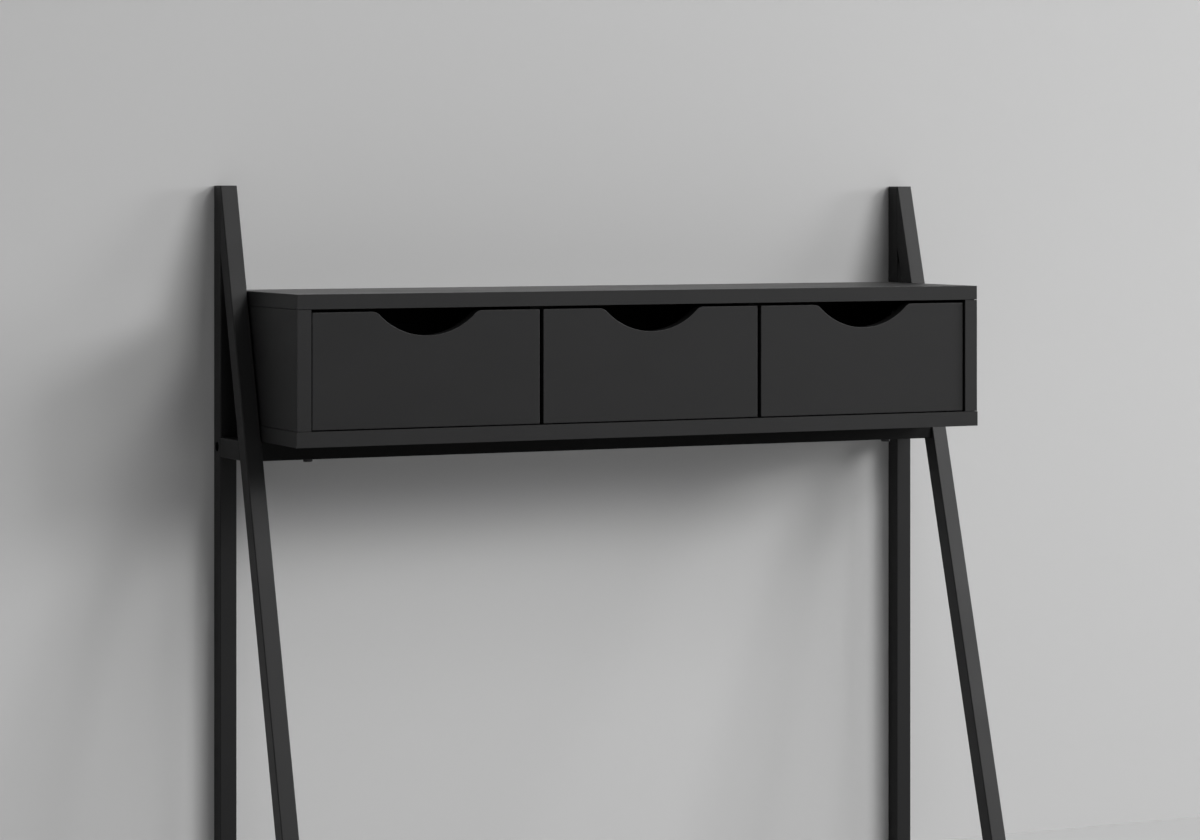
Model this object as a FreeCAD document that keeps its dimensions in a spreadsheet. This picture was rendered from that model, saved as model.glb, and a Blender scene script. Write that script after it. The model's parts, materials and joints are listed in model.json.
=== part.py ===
import FreeCAD, Part
import math
import os
import re

import Sketcher

# Ladder desk: two side frames of rectangular steel tube, each with an upright rear leg, a
# leaning front leg and a short rail, carry a shallow box with three drawers between them.
# Axes: X is the width, +Y points to the wall, Z is up. The origin is on the floor, under the
# middle of the desk. Where a comment says "from the wall", the wall is the rear legs' rear plane.

doc = FreeCAD.newDocument("ladder_desk")

# Driving sizes in millimetres, one spreadsheet row each.
SIZES = {
    # side frames
    "overall_width": 1004,
    "leg_height": 912,
    "foot_reach": 284.5,
    "tube_width": 22,
    "tube_depth": 24,
    "tube_wall": 1.5,
    "tube_corner": 2,
    "leg_tip_land": 0.8,
    "foot_thickness": 3,
    "cap_thickness": 2,
    "plug_depth": 14,
    "plug_play": 0.15,
    # stretchers and their bolts
    "spigot_length": 90,
    "spigot_wall": 2,
    "spigot_play": 0.2,
    "box_bolt_inset": 65,
    "bolt_diameter": 6,
    "bolt_head_diameter": 12,
    "bolt_head_height": 3.4,
    "leg_bolt_head_diameter": 10.5,
    "hex_socket": 4,
    "hex_socket_depth": 2.3,
    "bolt_play": 0.2,
    "bolt_grip": 20,
    "end_plug_length": 26,
    "access_hole": 12.4,
    "insert_diameter": 10,
    "insert_length": 12,
    # box
    "desktop_height": 780,
    "box_height": 185,
    "box_depth": 236,
    "box_side_gap": 2,
    "top_thickness": 18,
    "base_thickness": 19,
    "base_overhang": 1,
    "side_thickness": 18,
    "divider_thickness": 16,
    "divider_front_gap": 1,
    "back_thickness": 3,
    "back_inset": 8,
    "groove_depth": 5,
    "groove_play": 0.1,
    "joint_inset": 50,
    "dowel_diameter": 8,
    "dowel_length": 30,
    "dowel_seat": 10,
    "fastener_play": 0.05,
    "end_play": 0.5,
    "cam_diameter": 15,
    "cam_thickness": 12.3,
    "cam_drop": 24,
    "cam_bolt_diameter": 5,
    "cam_bolt_head": 6.8,
    "cam_bolt_head_height": 3,
    "cam_bolt_seat": 11,
    "case_screw_diameter": 5,
    "case_screw_head": 9.6,
    "case_screw_head_height": 2.4,
    "case_screw_length": 45,
    # drawers
    "front_thickness": 16,
    "front_recess": 3,
    "front_top_gap": 4,
    "front_base_gap": 1.2,
    "front_side_gap": 2,
    "front_middle_gap": 5,
    "scoop_width": 146,
    "scoop_depth": 30,
    "scoop_fillet": 14,
    "drawer_lift": 12,
    "drawer_height": 108,
    "drawer_wall": 12,
    "drawer_rear_gap": 6,
    "floor_thickness": 4,
    "floor_lift": 6,
    "drawer_dowel_diameter": 6,
    "drawer_dowel_length": 24,
    "drawer_dowel_seat": 8,
    "drawer_dowel_inset": 22,
    # drawer slides
    "slide_room": 10,
    "slide_length": 190,
    "slide_travel": 140,
    "slide_front_gap": 2,
    "slide_lift": 50,
    "slide_sheet": 1,
    "case_slide_height": 27,
    "case_slide_depth": 9,
    "slide_lip": 1,
    "drawer_slide_height": 17,
    "drawer_slide_depth": 6.2,
    "cage_offset": 2.6,
    "cage_sheet": 0.7,
    "cage_depth": 5.2,
    "ball_play": 0.2,
    "ball_hole_play": 0.1,
    "slide_screw_inset": 30,
    "slide_screw_diameter": 3.6,
    "slide_screw_head": 6.4,
    "slide_screw_head_height": 1.2,
    "slide_screw_bite": 7,
}
BALLS_PER_ROW = 4

# Sizes and places that follow from the driving ones, in the order in which they are worked out.
PLACES = {
    "wall_y": "foot_reach / 2",
    "half_width": "overall_width / 2",
    "inner_x": "half_width - tube_width",
    "leg_slope": "(foot_reach - tube_depth - leg_tip_land) / leg_height",
    "leg_run": "tube_depth * sqrt(1 + leg_slope ^ 2)",
    "leg_wall_run": "tube_wall * sqrt(1 + leg_slope ^ 2)",
    "rear_leg_y": "wall_y - tube_depth",
    "box_base_z": "desktop_height - box_height",
    "rail_z": "box_base_z - tube_depth",
    "rail_reach": "foot_reach - leg_slope * rail_z - leg_run - tube_depth",
    "front_bar_y": "wall_y - foot_reach + leg_slope * box_base_z",
    "rear_bar_y": "wall_y - tube_width",
    "box_width": "2 * (inner_x - box_side_gap)",
    "box_x": "-box_width / 2",
    "box_y": "wall_y - box_depth",
    "bay_z": "box_base_z + base_thickness",
    "bay_height": "box_height - top_thickness - base_thickness",
    "clear_x": "box_x + side_thickness",
    "clear_width": "box_width - 2 * side_thickness",
    "box_bolt_x": "inner_x - box_bolt_inset",
    "front_bolt_y": "front_bar_y + tube_width / 2",
    "rear_bolt_y": "rear_bar_y + tube_width / 2",
    "bolt_hole": "bolt_diameter + 2 * bolt_play",
    "groove_width": "back_thickness + 2 * groove_play",
    "groove_seat": "groove_depth - end_play",
    "groove_y": "box_depth - back_inset - back_thickness - groove_play",
    "front_width": "(clear_width - 2 * front_side_gap - 2 * front_middle_gap) / 3",
    "front_height": "bay_height - front_top_gap - front_base_gap",
    "front_y": "box_y + front_recess",
    "front_z": "bay_z + front_base_gap",
    "outer_bay": "front_side_gap + front_width + front_middle_gap / 2 - divider_thickness / 2",
    "middle_bay": "clear_width - 2 * (outer_bay + divider_thickness)",
    "divider_y": "front_y + front_thickness + divider_front_gap",
    "divider_depth": "box_y + groove_y - divider_y",
    "joint_front_y": "box_y + joint_inset",
    "joint_middle_y": "box_y + box_depth / 2",
    "joint_rear_y": "box_y + box_depth - joint_inset",
    "drawer_y": "front_y + front_thickness",
    "drawer_z": "bay_z + drawer_lift",
    "drawer_length": "box_y + groove_y + groove_play - drawer_rear_gap - drawer_y",
    "drawer_floor_top": "floor_lift + floor_thickness",
    "floor_groove": "floor_thickness + 2 * groove_play",
    "scoop_radius": "((scoop_width / 2) ^ 2 + scoop_depth ^ 2) / (2 * scoop_depth) - scoop_fillet",
    "drawer_dowel_bore": "drawer_dowel_length - drawer_dowel_seat + end_play",
    "slide_y": "drawer_y + slide_front_gap",
    "slide_z": "drawer_z + slide_lift",
    "cage_length": "slide_length - slide_travel",
    "cage_y": "slide_y + slide_travel / 2",
    "cage_row": "(case_slide_height / 2 - slide_sheet + drawer_slide_height / 2) / 2",
    "ball_diameter": "case_slide_height / 2 - slide_sheet - drawer_slide_height / 2 - 2 * ball_play",
    "ball_x": "cage_offset + cage_sheet + (cage_depth - cage_sheet) / 2",
    "dowel_bore": "dowel_diameter + 2 * fastener_play",
    "dowel_reach": "dowel_length - dowel_seat + end_play",
    "cam_bore": "cam_diameter + 2 * fastener_play",
    "cam_bore_depth": "cam_thickness + fastener_play",
    "cam_channel": "cam_bolt_head + 2 * bolt_play",
    "cam_bolt_bore": "cam_bolt_diameter + 2 * fastener_play",
    "case_screw_bore": "case_screw_diameter + 2 * fastener_play",
    "case_screw_reach": "case_screw_length + case_screw_head_height - base_thickness + end_play",
    "slide_pilot": "slide_screw_diameter + 2 * fastener_play",
    "slide_pilot_depth": "slide_screw_bite + end_play",
}

# A cutting profile runs this far past the faces that it cuts through.
CUT_OVERRUN = 6

# The direction of each origin plane's normal along its own axis.
PLANE_NORMAL = {"XY_Plane": 1, "XZ_Plane": -1, "YZ_Plane": 1}

QUARTER_TURN = 90
HALF_TURN = 180
X_AXIS = FreeCAD.Vector(1, 0, 0)
Y_AXIS = FreeCAD.Vector(0, 1, 0)
Z_AXIS = FreeCAD.Vector(0, 0, 1)
UPRIGHT = FreeCAD.Rotation()
REVERSED = FreeCAD.Rotation(Z_AXIS, HALF_TURN)
HEAD_TO_RIGHT = FreeCAD.Rotation(Y_AXIS, QUARTER_TURN)
HEAD_TO_LEFT = FreeCAD.Rotation(Y_AXIS, -QUARTER_TURN)
HEAD_DOWN = FreeCAD.Rotation(X_AXIS, HALF_TURN)

pieces = []
plane_of = {}


# ---- values -------------------------------------------------------------------------------

def full(expression):
    """Put the name of the sheet, or of the list of places, before each size in an expression."""
    def named(match):
        name = match.group(0)
        if name in SIZES:
            return "sizes." + name
        if name in PLACES:
            return "places." + name
        return name
    return re.sub(r"[a-z][a-z_0-9]*", named, str(expression))


def number(expression):
    """The present value of an expression."""
    return float(sheet.evalExpression(full(expression)))


sheet = doc.addObject("Spreadsheet::Sheet", "sizes")
for row, (alias, size) in enumerate(SIZES.items(), start=1):
    sheet.set(f"A{row}", alias.replace("_", " "))
    sheet.set(f"B{row}", str(size))
    sheet.setAlias(f"B{row}", alias)
doc.recompute()

places = doc.addObject("App::VarSet", "places")
for place, formula in PLACES.items():
    places.addProperty("App::PropertyFloat", place, "Places")
    places.setExpression(place, full(formula))
    doc.recompute()


# ---- sketches -----------------------------------------------------------------------------

def new_sketch(body, plane, name, offset="0"):
    """A sketch on one of the body's own origin planes, moved along the plane's axis by offset."""
    sketch = body.newObject("Sketcher::SketchObject", name)
    support = [feature for feature in body.Origin.OriginFeatures if feature.Role == plane][0]
    sketch.AttachmentSupport = [(support, "")]
    sketch.MapMode = "FlatFace"
    sign = PLANE_NORMAL[plane]
    sketch.setExpression("AttachmentOffset.Base.z", full(f"{sign} * ({offset})"))
    plane_of[sketch.Name] = plane
    return sketch


def fix(sketch, name, kind, *arguments):
    """Add a constraint whose last argument is an expression, and tie it to that expression."""
    *elements, expression = arguments
    index = sketch.addConstraint(Sketcher.Constraint(kind, *elements, number(expression)))
    sketch.renameConstraint(index, name)
    sketch.setExpression("Constraints." + name, full(expression))


def fix_point(sketch, name, line, end, across, up):
    """Tie one point of a sketch to its distances from the sketch's origin."""
    fix(sketch, name + "_across", "DistanceX", -1, 1, line, end, across)
    fix(sketch, name + "_up", "DistanceY", -1, 1, line, end, up)


def polygon(sketch, name, points):
    """A closed outline through points, each given as two expressions."""
    corners = [FreeCAD.Vector(number(across), number(up), 0) for across, up in points]
    first = sketch.GeometryCount
    count = len(corners)
    for index in range(count):
        sketch.addGeometry(Part.LineSegment(corners[index], corners[(index + 1) % count]))
    for index in range(count):
        following = first + (index + 1) % count
        sketch.addConstraint(Sketcher.Constraint("Coincident", first + index, 2, following, 1))
    for index, (across, up) in enumerate(points):
        fix_point(sketch, f"{name}_{index}", first + index, 1, across, up)


def rectangle(sketch, name, left, low, width, height):
    """An upright rectangle with its lower left corner at (left, low)."""
    right = f"({left}) + ({width})"
    high = f"({low}) + ({height})"
    polygon(sketch, name, [(left, low), (right, low), (right, high), (left, high)])


def rounded_rectangle(sketch, name, left, low, width, height, corner):
    """An upright rectangle with four equal round corners."""
    x, y, w, t, r = (number(value) for value in (left, low, width, height, corner))
    first = sketch.GeometryCount
    right_angle = math.pi / 2
    sides = [
        ((x + r, y), (x + w - r, y), (x + w - r, y + r), -right_angle),
        ((x + w, y + r), (x + w, y + t - r), (x + w - r, y + t - r), 0),
        ((x + w - r, y + t), (x + r, y + t), (x + r, y + t - r), right_angle),
        ((x, y + t - r), (x, y + r), (x + r, y + r), 2 * right_angle),
    ]
    for start, end, centre, angle in sides:
        sketch.addGeometry(Part.LineSegment(FreeCAD.Vector(*start, 0), FreeCAD.Vector(*end, 0)))
        circle = Part.Circle(FreeCAD.Vector(*centre, 0), Z_AXIS, r)
        sketch.addGeometry(Part.ArcOfCircle(circle, angle, angle + right_angle))
    for index in range(8):
        following = first + (index + 1) % 8
        sketch.addConstraint(Sketcher.Constraint("Tangent", first + index, 2, following, 1))
    for index, direction in enumerate(("Horizontal", "Vertical", "Horizontal", "Vertical")):
        sketch.addConstraint(Sketcher.Constraint(direction, first + 2 * index))
    for arc in (3, 5, 7):
        sketch.addConstraint(Sketcher.Constraint("Equal", first + 1, first + arc))
    fix(sketch, name + "_corner", "Radius", first + 1, corner)
    fix(sketch, name + "_left", "DistanceX", -1, 1, first + 6, 1, left)
    fix(sketch, name + "_low", "DistanceY", -1, 1, first, 1, low)
    fix(sketch, name + "_width", "DistanceX", first + 6, 1, first + 2, 1, width)
    fix(sketch, name + "_height", "DistanceY", first, 1, first + 4, 1, height)


def circles(sketch, points, diameter):
    """Equal circles, each centre given as two expressions."""
    for index, (across, up) in enumerate(points):
        centre = FreeCAD.Vector(number(across), number(up), 0)
        sketch.addGeometry(Part.Circle(centre, Z_AXIS, number(diameter) / 2))
        fix_point(sketch, f"centre_{index}", index, 3, across, up)
        if index:
            sketch.addConstraint(Sketcher.Constraint("Equal", 0, index))
    fix(sketch, "diameter", "Diameter", 0, diameter)


def tube_section(sketch, width, height, wall_across, wall_up, corner):
    """A rectangular tube's section with its lower left corner on the sketch's origin."""
    rounded_rectangle(sketch, "outside", "0", "0", width, height, corner)
    clear_across = f"({width}) - 2 * ({wall_across})"
    clear_up = f"({height}) - 2 * ({wall_up})"
    rectangle(sketch, "inside", wall_across, wall_up, clear_across, clear_up)


# ---- solids -------------------------------------------------------------------------------

def new_body(label):
    """An empty body; its label names its node."""
    body = doc.addObject("PartDesign::Body", label)
    body.Label = label
    return body


def place(item, x, y, z):
    """Tie an object's place to three expressions."""
    item.setExpression("Placement.Base.x", full(x))
    item.setExpression("Placement.Base.y", full(y))
    item.setExpression("Placement.Base.z", full(z))


def keep(item):
    """List an object as one of the desk's pieces."""
    pieces.append(item)
    return item


def pad(body, sketch, length, towards=1, lean="0"):
    """Raise a sketch along its plane's axis; lean shifts the solid in Y for each unit of length."""
    feature = body.newObject("PartDesign::Pad", sketch.Name + "_pad")
    feature.Profile = sketch
    feature.Reversed = towards != PLANE_NORMAL[plane_of[sketch.Name]]
    if lean != "0":
        feature.UseCustomVector = True
        feature.Direction = FreeCAD.Vector(0, number(lean), 1)
        feature.setExpression("Direction.y", full(lean))
        feature.AlongSketchNormal = True
    feature.setExpression("Length", full(length))
    doc.recompute()
    return feature


def pocket(body, sketch, depth=None, towards=1):
    """Cut a sketch into the body along its plane's axis, right through where no depth is given."""
    before = body.Shape.Volume
    feature = body.newObject("PartDesign::Pocket", sketch.Name + "_pocket")
    feature.Profile = sketch
    feature.Reversed = towards == PLANE_NORMAL[plane_of[sketch.Name]]
    if depth is None:
        feature.Type = "ThroughAll"
    else:
        feature.setExpression("Length", full(depth))
    doc.recompute()
    if not body.Shape.Volume < before:
        raise ValueError(f"{sketch.Name} cuts nothing from {body.Label}")
    return feature


def bore(body, name, plane, points, diameter, depth=None, towards=1, offset="0"):
    """Drill equal holes from a plane into the body."""
    sketch = new_sketch(body, plane, f"{body.Label}_{name}", offset)
    circles(sketch, points, diameter)
    pocket(body, sketch, depth, towards)


def groove(body, name, plane, left, low, width, height, depth, towards=1, offset="0"):
    """Cut a rectangular groove from a plane into the body."""
    sketch = new_sketch(body, plane, f"{body.Label}_{name}", offset)
    rectangle(sketch, "groove", left, low, width, height)
    pocket(body, sketch, depth, towards)


def board(label, plane, width, height, thickness, x, y, z):
    """A flat board with its least corner at (x, y, z), drawn on a plane and raised from it."""
    body = new_body(label)
    sketch = new_sketch(body, plane, label + "_outline")
    rectangle(sketch, "outline", "0", "0", width, height)
    pad(body, sketch, thickness)
    place(body, x, y, z)
    return keep(body)


def cylinder(name, diameter, height, z="0"):
    """A round bar on the Z axis that starts at height z."""
    bar = doc.addObject("Part::Cylinder", name)
    bar.setExpression("Radius", full(f"({diameter}) / 2"))
    bar.setExpression("Height", full(height))
    place(bar, "0", "0", z)
    return bar


def headed(name, shank, length, head, head_height, socket=None):
    """A screw on the Z axis: the shank hangs below Z = 0 and the head stands on it."""
    shank_bar = cylinder(name + "_shank", shank, length, f"-({length})")
    head_bar = cylinder(name + "_head", head, head_height)
    screw = doc.addObject("Part::Fuse", name)
    screw.Base = head_bar
    screw.Tool = shank_bar
    if socket is None:
        return screw
    key = doc.addObject("Part::Prism", name + "_key")
    key.Polygon = 6
    key.setExpression("Circumradius", full(f"({socket}) / sqrt(3)"))
    key.setExpression("Height", full("hex_socket_depth"))
    place(key, "0", "0", f"({head_height}) - hex_socket_depth")
    drilled = doc.addObject("Part::Cut", name + "_drilled")
    drilled.Base = screw
    drilled.Tool = key
    return drilled


def copy(original, x, y, z, turn=UPRIGHT):
    """A linked copy of a piece of hardware, turned and placed."""
    link = doc.addObject("App::Link", original.Name + "_copy")
    link.LinkedObject = original
    link.Placement = FreeCAD.Placement(FreeCAD.Vector(), turn)
    place(link, x, y, z)
    return link


def group(label, copies):
    """One node that holds several equal pieces as separate solids."""
    compound = doc.addObject("Part::Compound", label)
    compound.Label = label
    compound.Links = copies
    return keep(compound)


# ---- side frames --------------------------------------------------------------------------

def rear_leg(side, x, outer_face, inward):
    """An upright leg with a bolt hole through its inner wall and an access hole outside it."""
    body = new_body(side + "_rear_leg")
    section = new_sketch(body, "XY_Plane", side + "_rear_leg_section")
    tube_section(section, "tube_width", "tube_depth", "tube_wall", "tube_wall", "tube_corner")
    pad(body, section, "leg_height - foot_thickness - cap_thickness")
    place(body, x, "rear_leg_y", "foot_thickness")
    centre = [("rear_bolt_y - rear_leg_y", "rail_z + tube_depth / 2 - foot_thickness")]
    bore(body, "bolt_hole", "YZ_Plane", centre, "bolt_hole", None, inward, outer_face)
    bore(body, "access", "YZ_Plane", centre, "access_hole", "tube_width / 2", inward, outer_face)
    return keep(body)


def front_leg(side, x):
    """A leaning leg, cut level at the foot and upright where it lies against the rear leg."""
    body = new_body(side + "_front_leg")
    section = new_sketch(body, "XY_Plane", side + "_front_leg_section")
    tube_section(section, "tube_width", "leg_run", "tube_wall", "leg_wall_run", "tube_corner")
    pad(body, section, "leg_height - foot_thickness", 1, "leg_slope")
    scarf = new_sketch(body, "YZ_Plane", side + "_front_leg_scarf", f"-{CUT_OVERRUN}")
    face = "foot_reach - leg_slope * foot_thickness - tube_depth"
    rectangle(scarf, "scarf", face, "leg_height / 2", "2 * leg_run", "leg_height")
    pocket(body, scarf)
    place(body, x, "wall_y - foot_reach + leg_slope * foot_thickness", "foot_thickness")
    return keep(body)


def side_rail(side, x):
    """A level rail from the rear leg to the front leg, cut to the front leg's lean."""
    body = new_body(side + "_side_rail")
    section = new_sketch(body, "XZ_Plane", side + "_side_rail_section")
    tube_section(section, "tube_width", "tube_depth", "tube_wall", "tube_wall", "tube_corner")
    pad(body, section, "rail_reach", -1)
    mitre = new_sketch(body, "YZ_Plane", side + "_side_rail_mitre", f"-{CUT_OVERRUN}")
    below = f"-rail_reach - leg_slope * {CUT_OVERRUN}"
    above = f"-rail_reach + leg_slope * (tube_depth + {CUT_OVERRUN})"
    outside = f"-rail_reach - 2 * {CUT_OVERRUN}"
    high = f"tube_depth + {CUT_OVERRUN}"
    corners = [(below, f"-{CUT_OVERRUN}"), (above, high), (outside, high)]
    corners.append((outside, f"-{CUT_OVERRUN}"))
    polygon(mitre, "mitre", corners)
    pocket(body, mitre)
    place(body, x, "rear_leg_y", "rail_z")
    return keep(body)


def stretcher(label, y):
    """A bar between the side frames, drilled upwards for the two bolts that hold the box."""
    body = new_body(label)
    section = new_sketch(body, "YZ_Plane", label + "_section")
    tube_section(section, "tube_width", "tube_depth", "tube_wall", "tube_wall", "tube_corner")
    pad(body, section, "2 * inner_x")
    place(body, "-inner_x", y, "rail_z")
    holes = [("box_bolt_inset", "tube_width / 2")]
    holes.append(("2 * inner_x - box_bolt_inset", "tube_width / 2"))
    bore(body, "bolt_holes", "XY_Plane", holes, "bolt_hole")
    return keep(body)


def leg_cap(label, depth, wall_run, thickness, plug_towards, lean):
    """A plastic cap with a plug that fits inside a leg's end."""
    body = new_body(label)
    plate = new_sketch(body, "XY_Plane", label + "_plate")
    rounded_rectangle(plate, "plate", "0", "0", "tube_width", depth, "tube_corner")
    pad(body, plate, thickness, 1, lean)
    start = thickness if plug_towards > 0 else "0"
    plug = new_sketch(body, "XY_Plane", label + "_plug", start)
    across = "tube_wall + plug_play"
    back = f"({wall_run}) + plug_play"
    width = "tube_width - 2 * (tube_wall + plug_play)"
    reach = f"({depth}) - 2 * ({back})"
    rectangle(plug, "plug", across, f"({lean}) * ({start}) + {back}", width, reach)
    pad(body, plug, "plug_depth", plug_towards, lean)
    return body


def build_frames():
    """Legs, rails, stretchers, their spigots and plugs, bolts and end caps."""
    rear_leg("left", "-half_width", "0", 1)
    rear_leg("right", "inner_x", "tube_width", -1)
    for side, x in (("left", "-half_width"), ("right", "inner_x")):
        front_leg(side, x)
        side_rail(side, x)
    stretcher("front_stretcher", "front_bar_y")
    stretcher("rear_stretcher", "rear_bar_y")

    inset = "(tube_wall + spigot_play)"
    spigot = new_body("spigot")
    section = new_sketch(spigot, "YZ_Plane", "spigot_section")
    width = f"tube_width - 2 * {inset}"
    height = f"tube_depth - 2 * {inset}"
    tube_section(section, width, height, "spigot_wall", "spigot_wall", "tube_corner - spigot_wall / 2")
    pad(spigot, section, "spigot_length")
    centre = [("box_bolt_inset", f"({width}) / 2")]
    bore(spigot, "bolt_hole", "XY_Plane", centre, "bolt_hole")
    left = copy(spigot, "-inner_x", f"front_bar_y + {inset}", f"rail_z + {inset}")
    far_y = f"front_bar_y + tube_width - {inset}"
    right = copy(spigot, "inner_x", far_y, f"rail_z + {inset}", REVERSED)
    group("front_stretcher_spigots", [left, right])

    end_plug = new_body("end_plug")
    block = new_sketch(end_plug, "YZ_Plane", "end_plug_section")
    width = f"tube_width - 2 * {inset}"
    height = f"tube_depth - 2 * {inset}"
    rectangle(block, "block", "0", "0", width, height)
    pad(end_plug, block, "end_plug_length")
    centre = [(f"({width}) / 2", f"({height}) / 2")]
    bore(end_plug, "thread", "YZ_Plane", centre, "bolt_diameter + 2 * fastener_play")
    left = copy(end_plug, "-inner_x", f"rear_bar_y + {inset}", f"rail_z + {inset}")
    far_y = f"rear_bar_y + tube_width - {inset}"
    right = copy(end_plug, "inner_x", far_y, f"rail_z + {inset}", REVERSED)
    group("rear_stretcher_end_plugs", [left, right])

    shank = "tube_wall + bolt_grip"
    leg_bolt = headed("leg_bolt", "bolt_diameter", shank, "leg_bolt_head_diameter",
                      "bolt_head_height", "hex_socket")
    seat = "inner_x + tube_wall"
    height = "rail_z + tube_depth / 2"
    left = copy(leg_bolt, f"-({seat})", "rear_bolt_y", height, HEAD_TO_LEFT)
    right = copy(leg_bolt, seat, "rear_bolt_y", height, HEAD_TO_RIGHT)
    group("rear_stretcher_bolts", [left, right])

    box_bolt = headed("box_bolt", "bolt_diameter", "tube_depth + insert_length - end_play",
                      "bolt_head_diameter", "bolt_head_height", "hex_socket")
    insert = doc.addObject("Part::Cut", "threaded_insert")
    insert.Base = cylinder("insert_outside", "insert_diameter", "insert_length")
    insert.Tool = cylinder("insert_thread", "bolt_diameter + 2 * fastener_play", "insert_length")
    spots = [(f"{sign} * box_bolt_x", y) for y in ("front_bolt_y", "rear_bolt_y") for sign in (-1, 1)]
    group("box_bolts", [copy(box_bolt, x, y, "rail_z", HEAD_DOWN) for x, y in spots])
    group("box_bolt_inserts", [copy(insert, x, y, "box_base_z") for x, y in spots])

    top_cap = leg_cap("top_cap", "tube_depth", "tube_wall", "cap_thickness", -1, "0")
    rear_foot = leg_cap("rear_foot", "tube_depth", "tube_wall", "foot_thickness", 1, "0")
    front_foot = leg_cap("front_foot", "leg_run", "leg_wall_run", "foot_thickness", 1, "leg_slope")
    ends = ("-half_width", "inner_x")
    top_z = "leg_height - cap_thickness"
    group("leg_top_caps", [copy(top_cap, x, "rear_leg_y", top_z) for x in ends])
    group("rear_foot_caps", [copy(rear_foot, x, "rear_leg_y", "0") for x in ends])
    group("front_foot_caps", [copy(front_foot, x, "wall_y - foot_reach", "0") for x in ends])


# ---- box ----------------------------------------------------------------------------------

def upright_centres():
    """The middles of the four upright boards, measured from the box's left face."""
    left_divider = "side_thickness + outer_bay + divider_thickness / 2"
    return ["side_thickness / 2", left_divider, f"box_width - ({left_divider})",
            "box_width - side_thickness / 2"]


def drill_upright(body, thickness, front_y, cam_face, cam_towards):
    """Holes in an upright board: cams and their bolts, dowels and the screws from below."""
    middle = f"({thickness}) / 2"
    joints = [f"{y} - ({front_y})" for y in ("joint_front_y", "joint_rear_y")]
    dowel = [(middle, f"joint_middle_y - ({front_y})")]
    ends = [(middle, y) for y in joints]
    cams = [(y, "bay_height - cam_drop") for y in joints]
    bore(body, "cams", "YZ_Plane", cams, "cam_bore", "cam_bore_depth", cam_towards, cam_face)
    bore(body, "cam_channels", "XY_Plane", ends, "cam_channel", "cam_drop", -1, "bay_height")
    bore(body, "top_dowel", "XY_Plane", dowel, "dowel_bore", "dowel_reach", -1, "bay_height")
    bore(body, "base_dowel", "XY_Plane", dowel, "dowel_bore", "dowel_reach")
    bore(body, "screws", "XY_Plane", ends, "case_screw_bore", "case_screw_reach")


def slide_screw_points(front_y):
    """Where a slide's two screws enter a wall whose front edge is at front_y."""
    first = f"slide_y + slide_screw_inset - ({front_y})"
    last = f"slide_y + slide_length - slide_screw_inset - ({front_y})"
    return [(first, "slide_z - bay_z"), (last, "slide_z - bay_z")]


def pilot(body, name, front_y, towards, offset):
    """Pilot holes for a slide's screws in one face of an upright board."""
    points = slide_screw_points(front_y)
    bore(body, name, "YZ_Plane", points, "slide_pilot", "slide_pilot_depth", towards, offset)


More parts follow.
